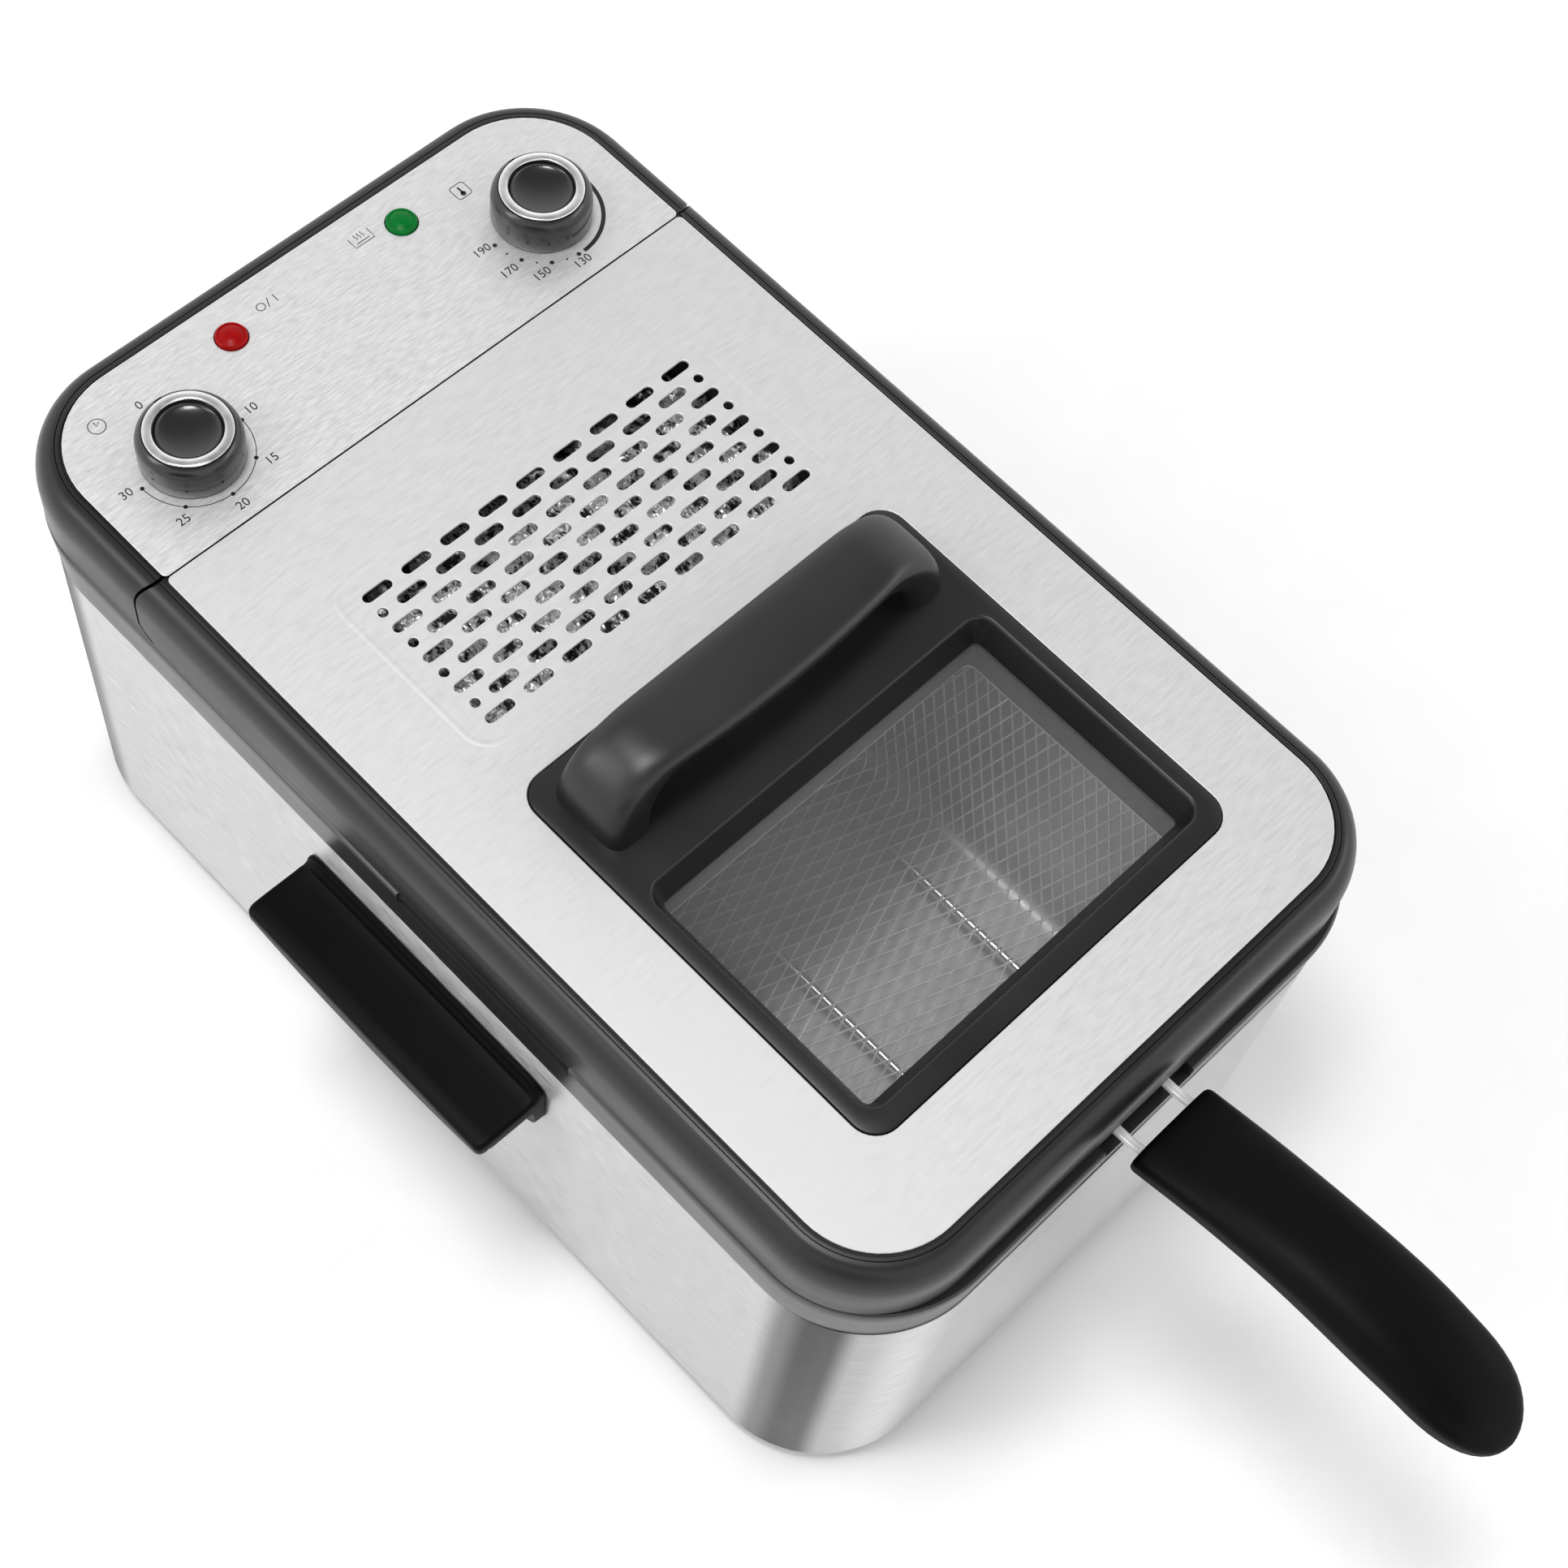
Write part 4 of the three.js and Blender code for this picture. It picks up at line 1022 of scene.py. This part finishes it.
def filter_foil():
    """The crumpled metal filter that shows through the vents, with slanting folds pressed in it."""
    low, high = span("filter_pad")
    columns, rows = 170, 90
    slant = Vector((VENT_STEP_Y, VENT_STEP_X)).normalized()
    fold_start, fold_pitch = 12, 31.9
    points = []
    for j in range(rows + 1):
        for i in range(columns + 1):
            x = low.x + (high.x - low.x) * i / columns
            y = low.y + (high.y - low.y) * j / rows
            place = Vector((x, y, 0))
            crease = abs(noise.noise(Vector((x / 2.4, y / 5.5, 0)))) * 3.4
            crease += abs(noise.noise(place / 6 + Vector((9, 4, 2)))) * 3
            along = (slant.dot(Vector((x, y))) - fold_start) / fold_pitch % 1
            valley = max(0, 1 - abs(along - 0.5) * fold_pitch / 4.5)
            rear = max(0, min(1, (y - 68) / 5))
            edge = min(1, min(i, columns - i, j, rows - j) / 5)
            drop = crease + 9 * min(valley * 1.6, 1) + 5 * rear + 7 * (1 - edge) ** 2
            points.append((x, y, high.z - 0.2 - min(drop, 16)))
    faces = []
    for j in range(rows):
        for i in range(columns):
            a = j * (columns + 1) + i
            faces.append((a, a + 1, a + columns + 2, a + columns + 1))
    obj = to_mesh("filter_foil", points, faces)
    thick = obj.modifiers.new("thickness", "SOLIDIFY")
    thick.thickness = 0.4 * MM
    bake(obj)
    smooth(obj, 60)
    hand_over(obj, "lid", "filter_mesh", replaces=["filter_pad"])


# ---- basket --------------------------------------------------------------------------------
tub_low, tub_high = span("basket_shell")
TUB_DRAFT = 8
TUB_TOP = Outline(tub_high.x - 0.8, tub_low.y + 0.8, tub_high.y - 0.8, 23)
TUB_FLOOR = TUB_TOP.grown(-TUB_DRAFT)
FLOOR_Z = tub_low.z + 0.8
WALL_HIGH = tub_high.z - FLOOR_Z
FOLD_R = 7


def fold(x, y):
    """Where a point of the flat wire sheet goes when the sheet is pressed into the tub."""
    floor = TUB_FLOOR.grown(-FOLD_R * 0.4)
    r = (floor.front_r + floor.rear_r) / 2
    middle_y = (floor.front + floor.rear) / 2
    half_y = (floor.rear - floor.front) / 2
    inner = Vector((max(-floor.half_x + r, min(x, floor.half_x - r)),
                    max(-half_y + r, min(y - middle_y, half_y - r))))
    away = Vector((x, y - middle_y)) - inner
    beyond = away.length - r
    if beyond <= 0:
        return Vector((x, y, FLOOR_Z)), Vector((0, 0, -1))
    outward = away.normalized()
    turn = min(beyond / FOLD_R, math.pi / 2)
    up = FOLD_R * (1 - math.cos(turn))
    out = FOLD_R * math.sin(turn) * 0.4
    rest = max(beyond - FOLD_R * math.pi / 2, 0)
    up += rest
    out += rest * TUB_DRAFT / WALL_HIGH
    flat_place = inner + outward * (r + out)
    normal = Vector((outward.x * math.sin(turn), outward.y * math.sin(turn), -math.cos(turn)))
    return Vector((flat_place.x, flat_place.y + middle_y, FLOOR_Z + up)), normal


def mesh_wires():
    """Two families of wires that cross in long diamonds, pressed into the shape of the tub."""
    diamond_side, lean = 8.6, math.radians(19)
    pitch = diamond_side * math.sin(2 * lean)
    reach, step = 330, 5
    wire_r, crossing_gap = 0.38, 0.28
    centre = Vector((0, (TUB_FLOOR.front + TUB_FLOOR.rear) / 2))
    paths = []
    for family in (-1, 1):
        along = Vector((math.cos(lean), family * math.sin(lean)))
        across = Vector((-along.y, along.x))
        for i in range(-int(reach / pitch), int(reach / pitch) + 1):
            path = []
            for j in range(-int(reach / step), int(reach / step) + 1):
                flat_place = centre + across * i * pitch + along * j * step
                place, normal = fold(*flat_place)
                if place.z > FLOOR_Z + WALL_HIGH:
                    if len(path) > 1:
                        paths.append(path)
                    path = []
                    continue
                path.append(place + normal * crossing_gap * family)
            if len(path) > 1:
                paths.append(path)
    obj = wires("basket_mesh", paths, wire_r)
    smooth(obj, 80)
    hand_over(obj, "basket", "bright_steel", "mesh_steel", ["basket_shell"])


def basket_rim():
    """The band that grips the top edge of the mesh."""
    low, high = span("basket_rim")
    rim = Outline(high.x - 1.5, low.y + 1.5, high.y - 1.5, 24)
    z0, z1 = low.z - 2.4, high.z
    profile = [(-1.2, z0), (-1.3, z0 + 2), (-1.1, z1 - 0.7), (-0.5, z1 - 0.1), (0.3, z1),
               (1.1, z1 - 0.4), (1.45, z1 - 1.2), (1.35, z0 + 1.4), (1.1, z0 + 1), (0.6, z0 + 1.3),
               (0.3, z0 + 2), (-0.5, z0)]
    obj = stack("basket_band", rim, profile, closed=True)
    smooth(obj, 50)
    hand_over(obj, "basket", "bright_steel", replaces=["basket_rim"])


def basket_runners():
    """Three thicker wires under the basket, turned up at both ends."""
    for word in ("left", "middle", "right"):
        low, high = span(f"basket_runner_{word}")
        x, z = (low.x + high.x) / 2, (low.z + high.z) / 2
        path = spline([(x, low.y + 1.5, z + 5), (x, low.y + 2.5, z + 1.6), (x, low.y + 6, z), (x, -48, z),
                       (x, high.y - 6, z), (x, high.y - 2.5, z + 1.6), (x, high.y - 1.5, z + 5)], 6)
        obj = sweep(f"runner_{word}", path, circle(1.5, 14))
        smooth(obj, 60)
        hand_over(obj, "basket", "bright_steel", replaces=[f"basket_runner_{word}"])


def basket_straps():
    """The two formed wires from the basket's front up over the pot's edge into the grip."""
    low, high = span("basket_strap_right")
    x, tail = (low.x + high.x) / 2, low.y
    y, z = high.y - 1.8, 172.2
    section = []
    for i in range(24):
        a = 2 * math.pi * i / 24
        lobe = 1 - 0.32 * abs(math.sin(a)) ** 6
        section.append((1.75 * math.cos(a), 1.45 * math.sin(a) * lobe))
    bend = [(y, 138), (y, 154), (y, 165), (y - 2.4, 170.6), (y - 7, z), (y - 18, z), (y - 29, z + 0.4),
            (y - 38, z + 3.4), (tail, z + 6.6)]
    for word, side in SIDES:
        path = spline([(side * x, *place) for place in bend], 8)
        obj = sweep(f"strap_{word}", path, section)
        smooth(obj, 50)
        hand_over(obj, "basket", "bright_steel", "strap_steel", [f"basket_strap_{word}"])


def through(table, y):
    """Smooth interpolation in a short table of (y, value) pairs that runs to smaller y."""
    for i in range(len(table) - 1):
        (y0, v0), (y1, v1) = table[i], table[i + 1]
        if y0 >= y >= y1:
            before = table[i - 1] if i > 0 else table[i]
            after = table[i + 2] if i + 2 < len(table) else table[i + 1]
            slope0 = (v1 - before[1]) / (y1 - before[0])
            slope1 = (after[1] - v0) / (after[0] - y0)
            t, h = (y - y0) / (y1 - y0), y1 - y0
            return ((1 + 2 * t) * (1 - t) ** 2 * v0 + t * (1 - t) ** 2 * h * slope0
                    + t * t * (3 - 2 * t) * v1 + t * t * (t - 1) * h * slope1)
    return table[-1][1]


def basket_grip():
    """A flat teardrop, thickest past its middle, with a parting line along each side."""
    low, high = span("basket_grip")
    start, tip = high.y, low.y
    round_from = start - 102
    end_half = 17.6
    middle = [(start, 174.4), (start - 28, 181), (start - 58, 185), (start - 90, 185.4),
              (start - 118, 182), (tip, 178)]
    width = [(start, 18.1), (start - 25, 17.7), (start - 55, 17.5), (start - 85, 18),
             (round_from, end_half)]
    thick = [(start, 13), (start - 28, 16), (start - 58, 19), (start - 90, 19), (start - 118, 14.5),
             (tip, 8)]
    corner = 2.4
    loops = []
    stations = [start, start - 0.4, start - 1.2, start - corner]
    stations += [start - 6 - 6 * i for i in range(17)]
    stations += [round_from + (tip - round_from) * math.sin(math.radians(7.5 * i)) for i in range(1, 13)]
    for y in stations:
        end = max(0, 1 - (start - y) / corner)
        inset = 1.4 * (1 - math.sqrt(max(0, 1 - end * end)))
        if y > round_from:
            half = through(width, y) - inset
            high_scale = 1
        else:
            t = (round_from - y) / (round_from - tip)
            half = end_half * math.sqrt(max(1 - t ** 2.5, 0.0004))
            high_scale = max(1 - t ** 5, 0.02) ** 0.5
        z = through(middle, y)
        up = (through(thick, y) / 2 - inset * 0.7) * high_scale
        loop = []
        for i in range(44):
            a = 2 * math.pi * i / 44
            parting = 0.35 if abs(math.sin(a)) < 0.1 else 0
            across = (half - parting) * signed_power(math.cos(a), 0.62)
            loop.append((across, y, z + up * signed_power(math.sin(a), 0.78)))
        loops.append(loop)
    obj = skin("grip", loops)
    smooth(obj, 50)
    hand_over(obj, "basket", "gloss_black", "handle_black", ["basket_grip"])


# ---- pot and outside trim ------------------------------------------------------------------
def pot():
    """The open oil pot: a rolled flange, gently tapered walls and a round turn into the floor."""
    low, high = span("inner_pot")
    mouth = Outline(98, -185, 97, 30)
    top, bottom = high.z, low.z
    sheet, wall, draft, corner_r = 1.2, 1.5, 5, 9
    fall = draft / (top - bottom)
    profile = [(5, top - 1.2), (5.1, top - 0.6), (5, top), (1.2, top), (0.2, top - 0.15),
               (-0.9, top - 0.8), (-wall, top - 2.2)]
    profile += [(-wall - fall * depth, top - depth) for depth in (20, 45, 70, 95)]
    foot = -wall - fall * (top - bottom - corner_r - wall)
    for i in range(9):
        a = math.radians(90 * i / 8)
        profile.append((foot - corner_r * (1 - math.cos(a)), bottom + wall + corner_r * (1 - math.sin(a))))
    obj = stack("pot_inside", mouth, profile, steps=18)
    bm = bmesh.new()
    bm.from_mesh(obj.data)
    over_mouth = [f for f in bm.faces if len(f.verts) > 4 and f.calc_center_median().z > 0.1]
    bmesh.ops.delete(bm, geom=over_mouth, context="FACES_ONLY")
    bmesh.ops.recalc_face_normals(bm, faces=bm.faces)
    bm.to_mesh(obj.data)
    bm.free()
    thickness = obj.modifiers.new("thickness", "SOLIDIFY")
    thickness.thickness = sheet * MM
    thickness.offset = -1
    bake(obj)
    smooth(obj, 35)
    hand_over(obj, "housing", "pot_steel", replaces=["inner_pot"])


def side_handle(word, side):
    """A shelf with a raised flange on the wall and a finger lip that is deepest in the middle."""
    low, high = span("side_handle_right")
    wall, out, top = low.x, high.x, 130
    foot, flange = low.z + 0.3, high.z - 0.2
    length, middle = high.y - low.y, (low.y + high.y) / 2
    ends = [0, 0.15, 0.6, 1.3, 2.3, 3.6, 5.2, 7, 9]
    offsets = ends + [9 + (length - 18) * i / 14 for i in range(1, 14)]
    offsets += [length - end for end in reversed(ends)]

    def rounding(near, r):
        """How far a corner of that radius has turned away, from 1 at the very end to 0."""
        return 1 - math.sqrt(max(0, 1 - (1 - min(near / r, 1)) ** 2))

    loops = []
    for offset in offsets:
        y = low.y + offset
        near = min(offset, length - offset)
        round_end = rounding(near, 2.2)
        round_flange = rounding(near, 8)
        bow = 1 - abs((y - middle) / (length / 2)) ** 2.4
        edge = out - 2.2 * round_end
        ridge = flange - 3.4 * round_flange
        lip = top - 5.5 - 5 * bow
        shelf = top - 0.8 * round_end
        loops.append([(x, y, z) for x, z in (
            (wall, foot + 8 * round_flange), (wall, ridge - 0.4), (wall + 0.4, ridge), (wall + 1.5, ridge),
            (wall + 1.9, ridge - 0.5), (wall + 2.2, ridge - 1.6), (wall + 3, ridge - 2.2),
            (wall + 3.8, min(ridge - 2.6, shelf)), (wall + 5, shelf - 0.25), (wall + 8, shelf - 0.35),
            (edge - 6, shelf - 0.1), (edge - 2, shelf - 0.15), (edge - 0.7, shelf - 0.6),
            (edge - 0.1, shelf - 1.6), (edge, shelf - 3), (edge - 0.1, lip + 0.6), (edge - 0.7, lip),
            (edge - 1.6, lip), (edge - 2.2, lip + 0.6), (edge - 3.4, top - 6.4), (wall + 6.5, top - 7.2),
            (wall + 4.8, top - 8.6), (wall + 3.6, foot + 8 * round_flange + 1))])
    obj = skin(f"handle_{word}", loops)
    if side < 0:
        obj.data.transform(Matrix.Diagonal((-1, 1, 1, 1)))
        obj.data.flip_normals()
    smooth(obj, 45)
    hand_over(obj, "housing", "gloss_black", "handle_black", [f"side_handle_{word}"])
    nub_y, nub_z = low.y + 9, top - 10
    middle_x = wall + 3.2
    loops = [[(side * (middle_x + x * r), nub_y + y * r, z) for x, y in circle(1, 20)]
             for r, z in ((3, nub_z + 3), (3, nub_z - 1.5), (2.6, nub_z - 2.6), (1.6, nub_z - 3.2))]
    nub = skin(f"handle_nub_{word}", loops)
    smooth(nub, 40)
    hand_over(nub, "housing", "gloss_black", "handle_black")


def feet():
    """Rubber feet with a round rim and a recess for the screw."""
    for word in ("front_left", "front_right", "rear_left", "rear_right"):
        low, high = span(f"foot_{word}")
        centre = ((low.x + high.x) / 2, (low.y + high.y) / 2)
        profile = [(2.4, 6), (2.4, 2.6), (5, 2.6), (5, 0.3), (5.3, 0), (8.1, 0), (8.6, 0.25),
                   (8.95, 0.9), (9.3, 3.2), (9.6, 5.6), (9.5, 6)]
        obj = turned(f"rubber_foot_{word}", profile, centre, 48)
        smooth(obj, 35)
        hand_over(obj, "housing", "rubber", replaces=[f"foot_{word}"])


wall_shell()
collar()
control_shell()
control_panel()
for colour, side in (("red", -1), ("green", 1)):
    lamp(colour, side)
timer_print()
thermostat_print()
lamp_print()
for name, side in (("timer", -1), ("thermostat", 1)):
    knob(name, side)
for word, side in SIDES:
    side_handle(word, side)
feet()
pot()

lid_shell()
lid_sheet()
window_frame()
lid_handle()
filter_foil()

mesh_wires()
basket_rim()
basket_runners()
basket_straps()
basket_grip()

SLOTS = {entry["node"]: entry["material_slot"] for entry in frame["record"]["subparts"]}
for node, obj in frame["nodes"].items():
    obj.data.materials.clear()
    obj.data.materials.append(MATERIALS[SLOTS[node]])
SOFTENED = ("base_plate", "cord_inlet", "lid_liner", "filter_cover", "hinge_bracket_left",
            "hinge_bracket_right")
for node in SOFTENED:
    soften(frame["nodes"][node], 0.25)


# ---- camera, lights and floor --------------------------------------------------------------
HORIZON_LIGHT = 1.3
CEILING_LIGHT = 0.28
GAP_LIGHT = 0.12
GAP_DIRECTION = (-0.81, -0.58, 0)
CAMERA_TURN, CAMERA_RISE, CAMERA_ROLL = (math.radians(a) for a in (-54.49, 62.1, 11.19))
CAMERA_PLACE = Vector((-332, -284.07 + BODY_Y, 933.36)) * MM
CAMERA_LENS = 62.37


def place_camera():
    """Looks down from the front left, turned a little about its own axis."""
    azimuth, elevation, roll = CAMERA_TURN, CAMERA_RISE, CAMERA_ROLL
    back = Vector((math.sin(azimuth) * math.cos(elevation),
                   -math.cos(azimuth) * math.cos(elevation), math.sin(elevation)))
    right = Vector((math.cos(azimuth), math.sin(azimuth), 0))
    up = back.cross(right)
    rolled_right = right * math.cos(roll) + up * math.sin(roll)
    rolled_up = up * math.cos(roll) - right * math.sin(roll)
    camera = link("camera", bpy.data.cameras.new("camera"))
    camera.data.lens = CAMERA_LENS
    camera.data.sensor_width = 36
    rows = Matrix((rolled_right, rolled_up, back)).transposed().to_4x4()
    camera.matrix_world = Matrix.Translation(CAMERA_PLACE) @ rows
    bpy.context.scene.camera = camera


def area_light(name, place, size, power):
    """A soft box that faces the object. Places and sizes are metres."""
    light = bpy.data.lights.new(name, "AREA")
    light.shape = "RECTANGLE"
    light.size, light.size_y = size
    light.energy = power
    obj = link(name, light)
    obj.location = place
    obj.rotation_euler = (Vector((0, 0, 0.1)) - Vector(place)).to_track_quat("-Z", "Y").to_euler()


def sky():
    """A white room, brighter towards the horizon, with a dark gap low down on the camera's side."""
    world = bpy.data.worlds.new("studio")
    bpy.context.scene.world = world
    world.use_nodes = True
    tree = world.node_tree

    def ramp(value, start, end, low, high):
        """Eases from low to high while the value runs from start to end."""
        node = tree.nodes.new("ShaderNodeMapRange")
        node.interpolation_type = "SMOOTHSTEP"
        for socket, number in zip(("From Min", "From Max", "To Min", "To Max"), (start, end, low, high)):
            node.inputs[socket].default_value = number
        tree.links.new(value, node.inputs["Value"])
        return node.outputs["Result"]

    direction = tree.nodes.new("ShaderNodeTexCoord").outputs["Generated"]
    split = tree.nodes.new("ShaderNodeSeparateXYZ")
    tree.links.new(direction, split.inputs["Vector"])
    ceiling = ramp(split.outputs["Z"], 0.55, 0.9, HORIZON_LIGHT, CEILING_LIGHT)
    towards = tree.nodes.new("ShaderNodeVectorMath")
    towards.operation = "DOT_PRODUCT"
    towards.inputs[1].default_value = GAP_DIRECTION
    tree.links.new(direction, towards.inputs[0])
    gap = ramp(towards.outputs["Value"], 0.86, 0.97, 1, GAP_LIGHT)
    both = tree.nodes.new("ShaderNodeMath")
    both.operation = "MULTIPLY"
    tree.links.new(ceiling, both.inputs[0])
    tree.links.new(gap, both.inputs[1])
    background = tree.nodes["Background"]
    background.inputs["Color"].default_value = (1, 1, 1, 1)
    tree.links.new(both.outputs["Value"], background.inputs["Strength"])


def studio():
    """Pale paper under the object, the room around it and three soft lights."""
    floor = skin("floor", [Outline(4000, -4000, 4000, 300).loop(z, 4) for z in (-10, -0.05)])
    paper = Finish("floor_paper", (0.86, 0.86, 0.86), 0.7, specular=0.2)
    paper.shade(paper.noise((30, 30, 30)), 0.99, 1.01)
    floor.data.materials.append(paper.material)
    sky()
    area_light("top_light", (-0.35, 0.2, 2.3), (0.5, 0.5), 20)
    area_light("key_light", (-1.5, 0.9, 1.5), (0.5, 1.6), 12)
    area_light("fill_light", (1.5, -1.2, 1.4), (1.2, 0.6), 6)
    bpy.context.scene.view_settings.view_transform = "Standard"


place_camera()
studio()
